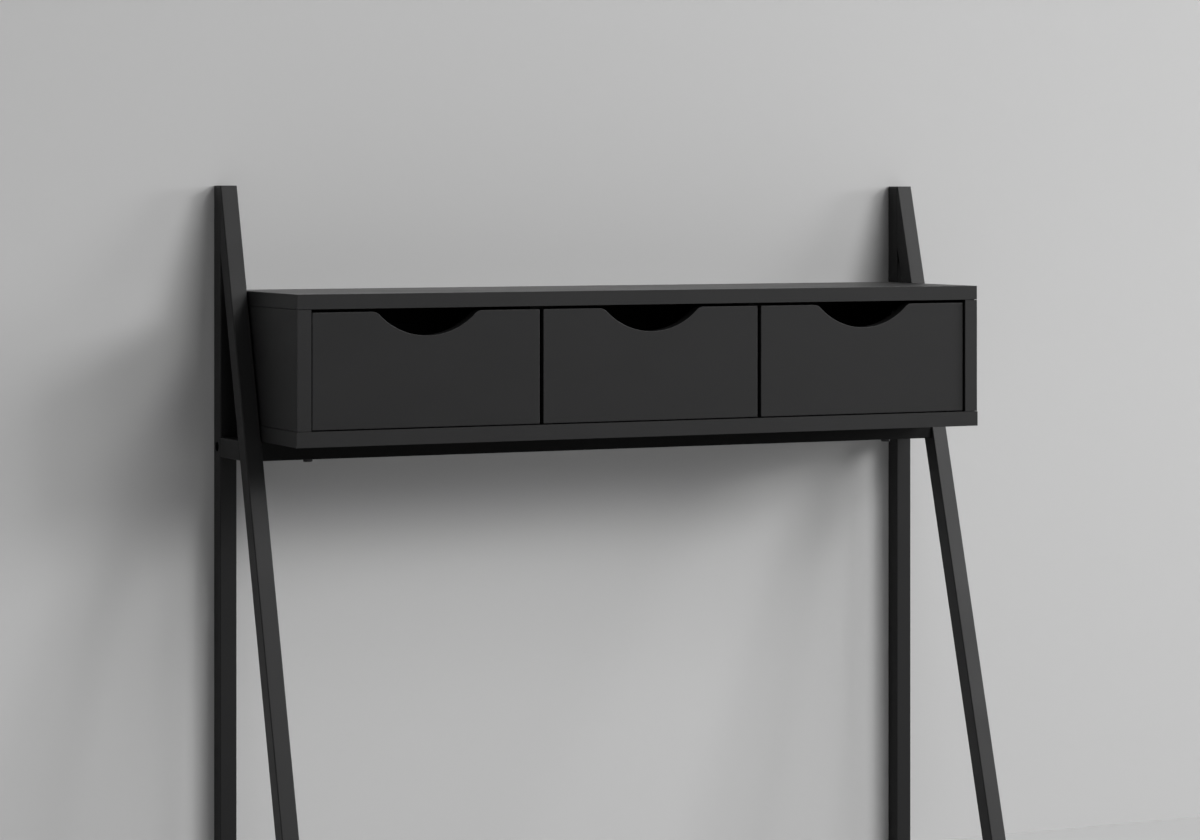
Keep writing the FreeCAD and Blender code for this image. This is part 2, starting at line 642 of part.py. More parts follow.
def build_box():
    """Top, base, sides, dividers, back and the hardware that joins them."""
    groove_left = "side_thickness - groove_depth"
    groove_span = "clear_width + 2 * groove_depth"
    centres = upright_centres()
    joints = ["joint_front_y - box_y", "joint_rear_y - box_y"]
    corners = [(x, y) for x in centres for y in joints]
    dowels = [(x, "joint_middle_y - box_y") for x in centres]

    top = board("top_panel", "XY_Plane", "box_width", "box_depth", "top_thickness",
                "box_x", "box_y", "desktop_height - top_thickness")
    groove(top, "back_groove", "XY_Plane", groove_left, "groove_y", groove_span, "groove_width",
           "groove_depth")
    bore(top, "cam_bolts", "XY_Plane", corners, "cam_bolt_bore", "cam_bolt_seat + end_play")
    bore(top, "dowels", "XY_Plane", dowels, "dowel_bore", "dowel_seat + end_play")

    base = board("base_panel", "XY_Plane", "box_width + 2 * base_overhang", "box_depth",
                 "base_thickness", "box_x - base_overhang", "box_y", "box_base_z")
    base_corners = [(f"{x} + base_overhang", y) for x, y in corners]
    base_dowels = [(f"{x} + base_overhang", y) for x, y in dowels]
    groove(base, "back_groove", "XY_Plane", groove_left + " + base_overhang", "groove_y",
           groove_span, "groove_width", "groove_depth", -1, "base_thickness")
    bore(base, "screws", "XY_Plane", base_corners, "case_screw_bore")
    bore(base, "screw_heads", "XY_Plane", base_corners, "case_screw_head + 2 * fastener_play",
         "case_screw_head_height")
    bore(base, "dowels", "XY_Plane", base_dowels, "dowel_bore", "dowel_seat + end_play", -1,
         "base_thickness")
    inserts = [(f"box_width / 2 + base_overhang + {sign} * box_bolt_x", f"{y} - box_y")
               for y in ("front_bolt_y", "rear_bolt_y") for sign in (-1, 1)]
    bore(base, "inserts", "XY_Plane", inserts, "insert_diameter + 2 * fastener_play",
         "insert_length + end_play")

    for side, x, inner_face, inward in (
        ("left", "box_x", "side_thickness", -1),
        ("right", "-box_x - side_thickness", "0", 1),
    ):
        panel = board(side + "_side_panel", "YZ_Plane", "box_depth", "bay_height",
                      "side_thickness", x, "box_y", "bay_z")
        groove(panel, "back_groove", "YZ_Plane", "groove_y", "0", "groove_width", "bay_height",
               "groove_depth", inward, inner_face)
        drill_upright(panel, "side_thickness", "box_y", inner_face, inward)
        pilot(panel, "slide_pilots", "box_y", inward, inner_face)

    for side, x, cam_face, cam_towards in (
        ("left", "clear_x + outer_bay", "0", 1),
        ("right", "-clear_x - outer_bay - divider_thickness", "divider_thickness", -1),
    ):
        divider = board(side + "_divider", "YZ_Plane", "divider_depth", "bay_height",
                        "divider_thickness", x, "divider_y", "bay_z")
        drill_upright(divider, "divider_thickness", "divider_y", cam_face, cam_towards)
        pilot(divider, "left_pilots", "divider_y", 1, "0")
        pilot(divider, "right_pilots", "divider_y", -1, "divider_thickness")

    board("back_panel", "XZ_Plane", "clear_width + 2 * groove_seat", "bay_height + 2 * groove_seat",
          "back_thickness", "clear_x - groove_seat", "box_y + groove_y + groove_play",
          "bay_z - groove_seat")

    spots = [(f"box_x + {x}", f"box_y + {y}") for x, y in corners]
    dowel_spots = [(f"box_x + {x}", f"box_y + {y}") for x, y in dowels]
    underside = "desktop_height - top_thickness"

    dowel = cylinder("case_dowel", "dowel_diameter", "dowel_length")
    levels = (f"{underside} + dowel_seat - dowel_length", "bay_z - dowel_seat")
    group("case_dowels", [copy(dowel, x, y, z) for x, y in dowel_spots for z in levels])

    shank = "case_screw_length"
    case_screw = headed("case_screw", "case_screw_diameter", shank, "case_screw_head",
                        "case_screw_head_height - fastener_play")
    seat = "box_base_z + case_screw_head_height"
    group("case_screws", [copy(case_screw, x, y, seat, HEAD_DOWN) for x, y in spots])

    bolt_length = "cam_bolt_seat + cam_drop - bolt_play"
    cam_bolt = headed("cam_bolt", "cam_bolt_diameter", f"{bolt_length} - cam_bolt_head_height",
                      "cam_bolt_head", "cam_bolt_head_height")
    cam_bolt_z = f"{underside} - cam_drop + cam_bolt_head_height + bolt_play"
    group("cam_bolts", [copy(cam_bolt, x, y, cam_bolt_z, HEAD_DOWN) for x, y in spots])

    cam_disc = cylinder("cam_disc", "cam_diameter", "cam_thickness")
    mouth = doc.addObject("Part::Box", "cam_mouth")
    mouth.setExpression("Length", full("cam_channel"))
    mouth.setExpression("Width", full("cam_diameter"))
    mouth.setExpression("Height", full("cam_thickness"))
    place(mouth, "-cam_channel / 2", "0", "0")
    cam = doc.addObject("Part::Cut", "cam")
    cam.Base = cam_disc
    cam.Tool = mouth
    facing_left = FreeCAD.Rotation(FreeCAD.Vector(0, 1, 0), FreeCAD.Vector(0, 0, 1),
                                   FreeCAD.Vector(1, 0, 0), "ZXY")
    facing_right = FreeCAD.Rotation(FreeCAD.Vector(0, -1, 0), FreeCAD.Vector(0, 0, 1),
                                    FreeCAD.Vector(-1, 0, 0), "ZXY")
    left_divider_x = "clear_x + outer_bay"
    faces = [("clear_x", facing_right), (left_divider_x, facing_left),
             (f"-({left_divider_x})", facing_right), ("-clear_x", facing_left)]
    cam_z = f"{underside} - cam_drop"
    cams = [copy(cam, x, f"box_y + {y}", cam_z, turn) for x, turn in faces for y in joints]
    group("cam_locks", cams)


# ---- drawers ------------------------------------------------------------------------------

def drawer_front(label, x):
    """A drawer front with a scooped finger grip in its top edge and its left edge at x."""
    body = new_body(label)
    sketch = new_sketch(body, "XZ_Plane", label + "_outline")
    width, height = number("front_width"), number("front_height")
    middle, half = width / 2, number("scoop_width") / 2
    small, large = number("scoop_fillet"), number("scoop_radius")
    rise = large - number("scoop_depth")
    lean = math.atan2(rise + small, half)
    outline = [(0, 0), (width, 0), (width, height), (middle + half, height)]
    for start, end in zip(outline, outline[1:]):
        sketch.addGeometry(Part.LineSegment(FreeCAD.Vector(*start, 0), FreeCAD.Vector(*end, 0)))
    arcs = [
        ((middle + half, height - small), small, math.pi / 2, math.pi - lean),
        ((middle, height + rise), large, math.pi + lean, 2 * math.pi - lean),
        ((middle - half, height - small), small, lean, math.pi / 2),
    ]
    for centre, radius, start, end in arcs:
        circle = Part.Circle(FreeCAD.Vector(*centre, 0), Z_AXIS, radius)
        sketch.addGeometry(Part.ArcOfCircle(circle, start, end))
    outline = [(middle - half, height), (0, height), (0, 0)]
    for start, end in zip(outline, outline[1:]):
        sketch.addGeometry(Part.LineSegment(FreeCAD.Vector(*start, 0), FreeCAD.Vector(*end, 0)))
    base, right, right_top, right_fillet, scoop, left_fillet, left_top, left = range(8)
    for first, second in ((base, right), (right, right_top), (left_top, left), (left, base)):
        sketch.addConstraint(Sketcher.Constraint("Coincident", first, 2, second, 1))
    sketch.addConstraint(Sketcher.Constraint("Tangent", right_top, 2, right_fillet, 1))
    sketch.addConstraint(Sketcher.Constraint("Tangent", right_fillet, 2, scoop, 2))
    sketch.addConstraint(Sketcher.Constraint("Tangent", scoop, 1, left_fillet, 1))
    sketch.addConstraint(Sketcher.Constraint("Tangent", left_fillet, 2, left_top, 1))
    for line in (base, right_top, left_top):
        sketch.addConstraint(Sketcher.Constraint("Horizontal", line))
    for line in (right, left):
        sketch.addConstraint(Sketcher.Constraint("Vertical", line))
    sketch.addConstraint(Sketcher.Constraint("Coincident", base, 1, -1, 1))
    sketch.addConstraint(Sketcher.Constraint("Equal", left, right))
    sketch.addConstraint(Sketcher.Constraint("Equal", right_fillet, left_fillet))
    fix(sketch, "fillet", "Radius", right_fillet, "scoop_fillet")
    fix(sketch, "scoop", "Radius", scoop, "scoop_radius")
    fix(sketch, "width", "DistanceX", base, 1, base, 2, "front_width")
    fix(sketch, "height", "DistanceY", right, 1, right, 2, "front_height")
    fix(sketch, "grip_right", "DistanceX", -1, 1, right_top, 2, "(front_width + scoop_width) / 2")
    fix(sketch, "grip_left", "DistanceX", -1, 1, left_top, 1, "(front_width - scoop_width) / 2")
    pad(body, sketch, "front_thickness")
    place(body, x, "front_y", "front_z")
    return keep(body)


def build_drawer(name, bay_x, bay_width, front_x):
    """One drawer: front, sides, back, floor, dowels, and its members of the two slides."""
    width = f"({bay_width}) - 2 * slide_room"
    left_x = f"({bay_x}) + slide_room"
    right_x = f"({bay_x}) + ({bay_width}) - slide_room - drawer_wall"
    lift = "drawer_z - front_z"
    heights = ["drawer_dowel_inset", "drawer_height - drawer_dowel_inset"]
    floor_width = f"{width} - 2 * drawer_wall + 2 * groove_seat"
    floor_x = f"({left_x}) + drawer_wall - groove_seat"
    bore_size = "drawer_dowel_diameter + 2 * fastener_play"
    seat = "drawer_dowel_seat + end_play"
    prefix = name + "_drawer_"

    front = drawer_front(prefix + "front", front_x)
    holes = [(f"{x} + drawer_wall / 2 - ({front_x})", f"{lift} + {z}")
             for x in (left_x, right_x) for z in heights]
    bore(front, "dowel_holes", "XZ_Plane", holes, bore_size, seat, -1, "front_thickness")
    groove(front, "floor_groove", "XZ_Plane", f"{floor_x} - ({front_x}) - groove_play",
           f"{lift} + floor_lift - groove_play", f"{floor_width} + 2 * groove_play", "floor_groove",
           "groove_depth", -1, "front_thickness")

    back_y = "drawer_length - drawer_wall / 2"
    for side, x, inner_face, inward in (("left", left_x, "drawer_wall", -1), ("right", right_x, "0", 1)):
        wall = board(f"{prefix}{side}_side", "YZ_Plane", "drawer_length", "drawer_height",
                     "drawer_wall", x, "drawer_y", "drawer_z")
        groove(wall, "floor_groove", "YZ_Plane", "0", "floor_lift - groove_play", "drawer_length",
               "floor_groove", "groove_depth", inward, inner_face)
        ends = [("drawer_wall / 2", z) for z in heights]
        bore(wall, "front_holes", "XZ_Plane", ends, bore_size, "drawer_dowel_bore")
        crossing = [(back_y, z) for z in heights]
        bore(wall, "back_holes", "YZ_Plane", crossing, bore_size, seat, inward, inner_face)
        screws = [(y, f"{z} - drawer_z + bay_z") for y, z in slide_screw_points("drawer_y")]
        outer_face = "drawer_wall" if inner_face == "0" else "0"
        bore(wall, "slide_pilots", "YZ_Plane", screws, "slide_pilot", "slide_pilot_depth",
             -inward, outer_face)

    back_height = "drawer_height - drawer_floor_top - groove_play"
    back_width = f"{width} - 2 * drawer_wall"
    back = board(prefix + "back", "XZ_Plane", back_width, back_height, "drawer_wall",
                 f"{left_x} + drawer_wall", "drawer_y + drawer_length - drawer_wall",
                 "drawer_z + drawer_floor_top + groove_play")
    ends = [("drawer_wall / 2", f"{z} - drawer_floor_top - groove_play") for z in heights]
    bore(back, "left_holes", "YZ_Plane", ends, bore_size, "drawer_dowel_bore")
    bore(back, "right_holes", "YZ_Plane", ends, bore_size, "drawer_dowel_bore", -1, back_width)

    board(prefix + "floor", "XY_Plane", floor_width, "drawer_length + groove_seat",
          "floor_thickness", floor_x, "drawer_y - groove_seat", "drawer_z + floor_lift")

    dowels = []
    for z in heights:
        level = f"drawer_z + {z}"
        for x in (left_x, right_x):
            turn = FreeCAD.Rotation(X_AXIS, -QUARTER_TURN)
            dowels.append(copy(drawer_dowel, f"{x} + drawer_wall / 2", "drawer_y - drawer_dowel_seat",
                               level, turn))
        middle = f"drawer_y + {back_y}"
        inner_left = f"{left_x} + drawer_wall - drawer_dowel_seat"
        inner_right = f"{right_x} + drawer_dowel_seat"
        dowels.append(copy(drawer_dowel, inner_left, middle, level, HEAD_TO_RIGHT))
        dowels.append(copy(drawer_dowel, inner_right, middle, level, HEAD_TO_LEFT))
    group(prefix + "dowels", dowels)

    far_x = f"({bay_x}) + ({bay_width})"
    far_y = "slide_y + slide_length"
    for label, member in ((name + "_case_slides", case_slide), (prefix + "slides", drawer_slide)):
        near = copy(member, bay_x, "slide_y", "slide_z")
        far = copy(member, far_x, far_y, "slide_z", REVERSED)
        group(label, [near, far])

    holes = ["slide_y + slide_screw_inset", "slide_y + slide_length - slide_screw_inset"]
    near_x = f"({bay_x}) + slide_room - slide_sheet"
    screws = [copy(slide_screw, near_x, y, "slide_z", HEAD_TO_LEFT) for y in holes]
    screws += [copy(slide_screw, f"{far_x} - slide_room + slide_sheet", y, "slide_z", HEAD_TO_RIGHT)
               for y in holes]
    group(prefix + "slide_screws", screws)

    moving = [copy(cage, bay_x, "cage_y", "slide_z")]
    moving.append(copy(cage, far_x, "cage_y + cage_length", "slide_z", REVERSED))
    for x in (f"({bay_x}) + ball_x", f"{far_x} - ball_x"):
        for row in (-1, 1):
            for index in range(BALLS_PER_ROW):
                along = f"cage_y + cage_length * {(index + 0.5) / BALLS_PER_ROW}"
                moving.append(copy(ball, x, along, f"slide_z + {row} * cage_row"))
    group(name + "_slide_cages", moving)


def channel(label, points, length):
    """A straight rail of a slide: a section in X and Z, raised along Y."""
    body = new_body(label)
    section = new_sketch(body, "XZ_Plane", label + "_section")
    polygon(section, "section", points)
    pad(body, section, length)
    return body


def build_slide_parts():
    """The slide's two channels, its ball cage, a ball and the screw; bays copy these."""
    half, sheet_in = "case_slide_height / 2", "case_slide_height / 2 - slide_sheet"
    lip = f"{sheet_in} - slide_lip"
    mouth = "case_slide_depth - slide_sheet"
    upper = [("slide_sheet", sheet_in), (mouth, sheet_in), (mouth, lip), ("case_slide_depth", lip),
             ("case_slide_depth", half), ("0", half)]
    lower = [(x, f"-({z})") for x, z in reversed(upper)]
    outer = channel("case_slide", lower + upper, "slide_length")
    screw_points = [("slide_screw_inset", "0"), ("slide_length - slide_screw_inset", "0")]
    screw_hole = "slide_pilot + bolt_play"
    bore(outer, "screw_holes", "YZ_Plane", screw_points, screw_hole, "slide_sheet")

    half, inside = "drawer_slide_height / 2", "drawer_slide_height / 2 - slide_sheet"
    edge, web = "slide_room - drawer_slide_depth", "slide_room - slide_sheet"
    upper = [("slide_room", half), (edge, half), (edge, inside), (web, inside)]
    lower = [(x, f"-({z})") for x, z in reversed(upper)]
    inner = channel("drawer_slide", upper + lower, "slide_length")
    bore(inner, "screw_holes", "YZ_Plane", screw_points, screw_hole, "slide_sheet", -1, "slide_room")

    high, low = "cage_row + cage_sheet / 2", "cage_row - cage_sheet / 2"
    end, web = "cage_offset + cage_depth", "cage_offset + cage_sheet"
    upper = [(web, low), (end, low), (end, high), ("cage_offset", high)]
    lower = [(x, f"-({z})") for x, z in reversed(upper)]
    strip = channel("cage", lower + upper, "cage_length")
    holes = [("ball_x", f"cage_length * {(index + 0.5) / BALLS_PER_ROW}")
             for index in range(BALLS_PER_ROW)]
    bore(strip, "ball_holes", "XY_Plane", holes, "ball_diameter + 2 * ball_hole_play", None, 1,
         "-case_slide_height / 2")

    steel_ball = doc.addObject("Part::Sphere", "ball")
    steel_ball.setExpression("Radius", full("ball_diameter / 2"))
    screw = headed("slide_screw", "slide_screw_diameter", "slide_sheet + slide_screw_bite",
                   "slide_screw_head", "slide_screw_head_height")
    return outer, inner, strip, steel_ball, screw


def bays():
    """Name, left face, width and drawer front's left edge of each bay."""
    first_front = "clear_x + front_side_gap"
    step = "(front_width + front_middle_gap)"
    return [
        ("left", "clear_x", "outer_bay", first_front),
        ("middle", "-middle_bay / 2", "middle_bay", f"{first_front} + {step}"),
        ("right", "middle_bay / 2 + divider_thickness", "outer_bay", f"{first_front} + 2 * {step}"),
    ]


build_frames()
build_box()
case_slide, drawer_slide, cage, ball, slide_screw = build_slide_parts()
drawer_dowel = cylinder("drawer_dowel", "drawer_dowel_diameter", "drawer_dowel_length")
for bay_name, bay_left, bay_span, front_left in bays():
    build_drawer(bay_name, bay_left, bay_span, front_left)

case_slide_screws = []
for _, bay_left, bay_span, _ in bays():
    right_face = f"({bay_left}) + ({bay_span})"
    for along in ("slide_y + slide_screw_inset", "slide_y + slide_length - slide_screw_inset"):
        inner_left = f"({bay_left}) + slide_sheet"
        case_slide_screws.append(copy(slide_screw, inner_left, along, "slide_z", HEAD_TO_RIGHT))
        inner_right = f"{right_face} - slide_sheet"
        case_slide_screws.append(copy(slide_screw, inner_right, along, "slide_z", HEAD_TO_LEFT))
group("case_slide_screws", case_slide_screws)
doc.recompute()


# ---- checks and files ---------------------------------------------------------------------

for item in doc.Objects:
    faults = [state for state in item.State if state in ("Invalid", "Error")]
    if faults:
        raise ValueError(f"{item.Label}: {faults}")
for piece in pieces:
    if piece.Shape.isNull() or not piece.Shape.isValid() or not piece.Shape.Solids:
        raise ValueError(f"{piece.Label} is not a valid solid")

os.makedirs("parts", exist_ok=True)
for piece in pieces:
    piece.Shape.exportStep(f"parts/{piece.Label}.step")
    print(f"{piece.Label}: {len(piece.Shape.Solids)} solids, {piece.Shape.Volume / 1000:.1f} cm3")
print(f"{len(pieces)} nodes")
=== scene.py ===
"""Dresses the ladder desk: rounded boards and tubes, hardware, finishes, and the studio."""

import json
import logging
import math
from collections.abc import Callable, Sequence
from dataclasses import dataclass, field, replace
from enum import Enum

import bmesh
import bpy
from bmesh.types import BMesh
from bpy.types import ID, Material, Mesh, Node, NodeSocket, NodeTree, Object
from mathutils import Matrix, Vector

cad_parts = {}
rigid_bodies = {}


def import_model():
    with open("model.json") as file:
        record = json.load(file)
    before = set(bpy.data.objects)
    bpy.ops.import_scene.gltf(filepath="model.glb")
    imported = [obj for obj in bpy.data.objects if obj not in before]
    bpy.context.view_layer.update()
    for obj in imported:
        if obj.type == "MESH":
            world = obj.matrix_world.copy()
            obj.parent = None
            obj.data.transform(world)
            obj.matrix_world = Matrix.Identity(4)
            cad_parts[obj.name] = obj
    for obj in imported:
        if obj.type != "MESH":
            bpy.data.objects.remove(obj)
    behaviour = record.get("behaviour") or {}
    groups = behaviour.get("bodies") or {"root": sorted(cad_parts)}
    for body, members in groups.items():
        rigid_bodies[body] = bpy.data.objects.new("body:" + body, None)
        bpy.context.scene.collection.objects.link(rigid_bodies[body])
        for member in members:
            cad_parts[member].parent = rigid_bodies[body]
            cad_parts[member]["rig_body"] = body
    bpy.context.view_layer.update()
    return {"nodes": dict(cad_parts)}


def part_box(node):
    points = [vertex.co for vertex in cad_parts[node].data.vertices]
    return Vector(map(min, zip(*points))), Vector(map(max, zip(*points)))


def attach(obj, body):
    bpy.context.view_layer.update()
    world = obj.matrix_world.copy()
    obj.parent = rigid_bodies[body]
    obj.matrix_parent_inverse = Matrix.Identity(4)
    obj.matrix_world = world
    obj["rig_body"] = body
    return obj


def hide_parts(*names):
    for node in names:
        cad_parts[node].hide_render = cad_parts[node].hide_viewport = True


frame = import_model()

log = logging.getLogger("ladder_desk")

Point = tuple[float, float, float]
Flat = tuple[float, float]
Box = tuple[Vector, Vector]
Aim = Callable[[Vector, Vector], Point]

MM = 0.001
MERGE = 0.001 * MM
FINISH = "_finish"
RIM, AIM = "rim", "aim"
ACROSS, BACK, UP, DOWN = (1, 0, 0), (0, 1, 0), (0, 0, 1), (0, 0, -1)


class Slot(Enum):
    """The record's material slots."""

    FRAME = "frame_steel"
    CAP = "cap_plastic"
    BOLT = "black_bolt"
    DESKTOP = "desktop_paint"
    BOX = "box_paint"
    FRONT = "front_paint"
    DRAWER = "drawer_board"
    HARDBOARD = "hardboard"
    DOWEL = "dowel_wood"
    ZINC = "zinc_steel"
    SLIDE = "slide_steel"


class Recess(Enum):
    """The driving recess in a screw's head."""

    HEX = "hex"
    CROSS = "cross"


class Place(Enum):
    """A place on the desk, whose name starts the names of the nodes there."""

    def part(self, name: str) -> str:
        """The node of one of the parts there."""
        return f"{self.name.lower()}_{name}"


class Side(Place):
    """The two sides of the desk, with the sign of X there."""

    LEFT = -1
    RIGHT = 1


class Bay(Place):
    """The three bays of the box, in their order along X."""

    LEFT = 1
    MIDDLE = 2
    RIGHT = 3


# ---- node trees ----------------------------------------------------------------------------


@dataclass
class Value:
    """A node socket that takes part in arithmetic."""

    socket: NodeSocket

    def _math(self, operation: str, first: "Value | float", second: "Value | float") -> "Value":
        """A Math node on two values."""
        made = Graph(self.socket.id_data).node(
            "ShaderNodeMath", {0: first, 1: second}, operation=operation
        )
        return Value(made.outputs[0])

    def __add__(self, other: "Value | float") -> "Value":
        """self + other"""
        return self._math("ADD", self, other)

    __radd__ = __add__

    def __sub__(self, other: "Value | float") -> "Value":
        """self - other"""
        return self._math("SUBTRACT", self, other)

    def __rsub__(self, other: float) -> "Value":
        """other - self"""
        return self._math("SUBTRACT", other, self)

    def __mul__(self, other: "Value | float") -> "Value":
        """self * other"""
        return self._math("MULTIPLY", self, other)

    __rmul__ = __mul__


@dataclass
class Graph:
    """A node tree that is written as calls and expressions."""

    tree: NodeTree

    def node(self, kind: str, sockets: dict | None = None, **settings: object) -> Node:
        """Add one node.

        Args:
            kind: the node's type name.
            sockets: values or links, by the input's name or number.
            settings: the node's own properties, which are set first.

        Returns:
            The new node.
        """
        made = self.tree.nodes.new(kind)
        for name, value in settings.items():
            setattr(made, name, value)
        for key, value in (sockets or {}).items():
            if isinstance(value, Value):
                value = value.socket
            if isinstance(value, NodeSocket):
                self.tree.links.new(value, made.inputs[key])
            else:
                made.inputs[key].default_value = value
        return made

    def rays(self, *kinds: str) -> Value:
        """1 where a ray is of one of these kinds, 0 for any other.

        Args:
            kinds: the kinds as the light path names them, such as Camera.

        Returns:
            The value.
        """
        path = self.node("ShaderNodeLightPath").outputs
        first, *others = (Value(path[f"Is {kind} Ray"]) for kind in kinds)
        return sum(others, first)


# ---- finishes ------------------------------------------------------------------------------


class Coat(Graph):
    """A material under construction: patterns in object space that end in one shader."""

    def __init__(self, name: str) -> None:
        """Start a material.

        Args:
            name: the material's name.
        """
        self.material = bpy.data.materials.new(name)
        self.material.use_nodes = True
        super().__init__(self.material.node_tree)
        self.tree.nodes.clear()
        self.place = self.node("ShaderNodeTexCoord").outputs["Object"]

    def noise(
        self, size: float, detail: float = 1.0, stretch: Point = (1, 1, 1), shift: float = 0.0
    ) -> Value:
        """Cloudy variation around 0.5.

        Args:
            size: the size of a patch in millimetres.
            detail: how many finer layers are added.
            stretch: how much denser the pattern is along each axis.
            shift: an offset, so that two patterns differ.

        Returns:
            The pattern's value.
        """
        sockets = {"Vector": self.place, "Scale": stretch, "Location": (shift,) * 3}
        where = self.node("ShaderNodeMapping", sockets).outputs[0]
        sockets = {"Vector": where, "Scale": 1 / (size * MM), "Detail": detail}
        return Value(self.node("ShaderNodeTexNoise", sockets).outputs[0])

    def span(
        self, value: Value, low: float, high: float, start: float = 0.0, end: float = 1.0
    ) -> Value:
        """Map low..high of a value to start..end and hold it there."""
        sockets = {0: value, 1: low, 2: high, 3: start, 4: end}
        return Value(self.node("ShaderNodeMapRange", sockets, clamp=True).outputs[0])

    def rise(self) -> Value:
        """1 on faces that look straight up, 0 on upright ones."""
        normal = self.node("ShaderNodeNewGeometry").outputs["True Normal"]
        return Value(self.node("ShaderNodeSeparateXYZ", {0: normal}).outputs["Z"])

    def rim(self) -> Value:
        """1 on the rounded edges of a piece and 0 on its faces."""
        return Value(self.node("ShaderNodeAttribute", attribute_name=RIM).outputs["Fac"])

    def blend(self, amount: Value, first: Point | NodeSocket, second: Point) -> NodeSocket:
        """A colour between two.

        Args:
            amount: how much of the second colour shows, from 0 to 1.
            first: the first colour, or a link to it.
            second: the second colour.

        Returns:
            The mixed colour.
        """
        under = first if isinstance(first, NodeSocket) else (*first, 1)
        sockets = {0: amount, 6: under, 7: (*second, 1)}
        return self.node("ShaderNodeMix", sockets, data_type="RGBA").outputs[2]

    def bump(self, height: Value, depth: float, under: NodeSocket | None = None) -> NodeSocket:
        """Relief from a height of 0 to 1.

        Args:
            height: the pattern.
            depth: its full depth in millimetres.
            under: a relief that this one lies on.

        Returns:
            The normal.
        """
        sockets = {"Height": height, "Distance": depth * MM, "Strength": 1.0}
        if under is not None:
            sockets["Normal"] = under
        return self.node("ShaderNodeBump", sockets).outputs[0]

    def close(
        self, colour: NodeSocket, roughness: Value | float,
        relief: NodeSocket | None = None, gloss: float = 0.5, metal: float = 0.0,
    ) -> Material:
        """End in a Principled shader.

        Args:
            colour: the base colour.
            roughness: the roughness.
            relief: the normal, where there is any relief.
            gloss: the specular level.
            metal: how metallic the surface is.

        Returns:
            The finished material.
        """
        sockets = {
            "Base Color": colour, "Roughness": roughness,
            "Specular IOR Level": gloss, "Metallic": metal,
        }
        if relief is not None:
            sockets["Normal"] = relief
        shader = self.node("ShaderNodeBsdfPrincipled", sockets)
        self.node("ShaderNodeOutputMaterial", {"Surface": shader.outputs[0]})
        return self.material


@dataclass(frozen=True)
class PowderCoat:
    """Satin black powder coat: a fine orange peel over steel, thinner on the edges.

    The sizes of patterns are in millimetres, here and in the other finishes.
    """

    name: str = "frame_powder_coat"
    colour: Point = (0.0105, 0.0105, 0.0108)
    edge_colour: Point = (0.022, 0.022, 0.0225)
    roughness: float = 0.46
    gloss: float = 0.19
    peel: float = 1.1
    grain: float = 0.28
    wear: float = 2.4
    handling: float = 70.0

    def material(self) -> Material:
        """Build the finish.

        Returns:
            The material.
        """
        coat = Coat(self.name)
        peel = coat.noise(self.peel)
        grain = coat.noise(self.grain, 0.0, shift=3.1)
        handling = coat.noise(self.handling, 3.0, shift=7.7)
        worn = coat.rim() * coat.span(coat.noise(self.wear, 2.0, shift=1.3), 0.42, 0.66, 0.25)
        rough = self.roughness + (handling - 0.5) * 0.14 + (grain - 0.5) * 0.08 - worn * 0.06
        relief = coat.bump(grain, 0.006, coat.bump(peel, 0.03))
        colour = coat.blend(worn, self.colour, self.edge_colour)
        return coat.close(colour, rough, relief, self.gloss)


@dataclass(frozen=True)
class Lacquer:
    """Sprayed satin lacquer on board: soft spray texture, faint mottling, rubbed edges."""

    name: str
    colour: Point
    roughness: float
    level_roughness: float
    shift: float = 0.0
    edge_colour: Point = (0.024, 0.024, 0.0245)
    gloss: float = 0.2
    spray: float = 1.6
    dust: float = 0.35
    mottle: float = 90.0
    wear: float = 4.0

    def material(self) -> Material:
        """Build the finish.

        Returns:
            The material.
        """
        coat, shift = Coat(self.name), self.shift
        spray = coat.noise(self.spray, shift=shift)
        dust = coat.noise(self.dust, 0.0, shift=shift + 2.0)
        mottle = coat.noise(self.mottle, 3.0, (1.0, 1.0, 1.6), shift + 5.0)
        wear = coat.noise(self.wear, 3.0, shift=shift + 9.0)
        rubbed = coat.rim() * coat.span(wear, 0.4, 0.7, 0.2)
        deep = tuple(0.86 * part for part in self.colour)
        ground = coat.blend(coat.span(mottle, 0.3, 0.7), deep, self.colour)
        colour = coat.blend(rubbed, ground, self.edge_colour)
        smooth = coat.span(coat.rise(), 0.6, 0.95, 0.0, self.roughness - self.level_roughness)
        rough = (
            self.roughness - smooth + (mottle - 0.5) * 0.12 + (dust - 0.5) * 0.06 - rubbed * 0.08
        )
        relief = coat.bump(dust, 0.004, coat.bump(spray, 0.022))
        return coat.close(colour, rough, relief, self.gloss)


@dataclass(frozen=True)
class Foil:
    """Dark melamine foil on the drawer boards, with a pressed wood-pore texture."""

    name: str = "drawer_foil"
    colour: Point = (0.03, 0.03, 0.031)
    pore_colour: Point = (0.019, 0.019, 0.019)
    edge_colour: Point = (0.045, 0.044, 0.043)
    pore: float = 0.7
    cloud: float = 55.0

    def material(self) -> Material:
        """Build the finish.

        Returns:
            The material.
        """
        coat = Coat(self.name)
        pores = coat.span(coat.noise(self.pore, 2.0, (1.0, 0.08, 1.0)), 0.52, 0.66)
        cloud = coat.noise(self.cloud, 2.0, (1.0, 0.3, 1.0), 4.0)
        ground = coat.blend(pores, self.colour, self.pore_colour)
        colour = coat.blend(coat.rim() * 0.8, ground, self.edge_colour)
        rough = 0.48 + (cloud - 0.5) * 0.12 + pores * 0.12
        return coat.close(colour, rough, coat.bump(1.0 - pores, 0.03))


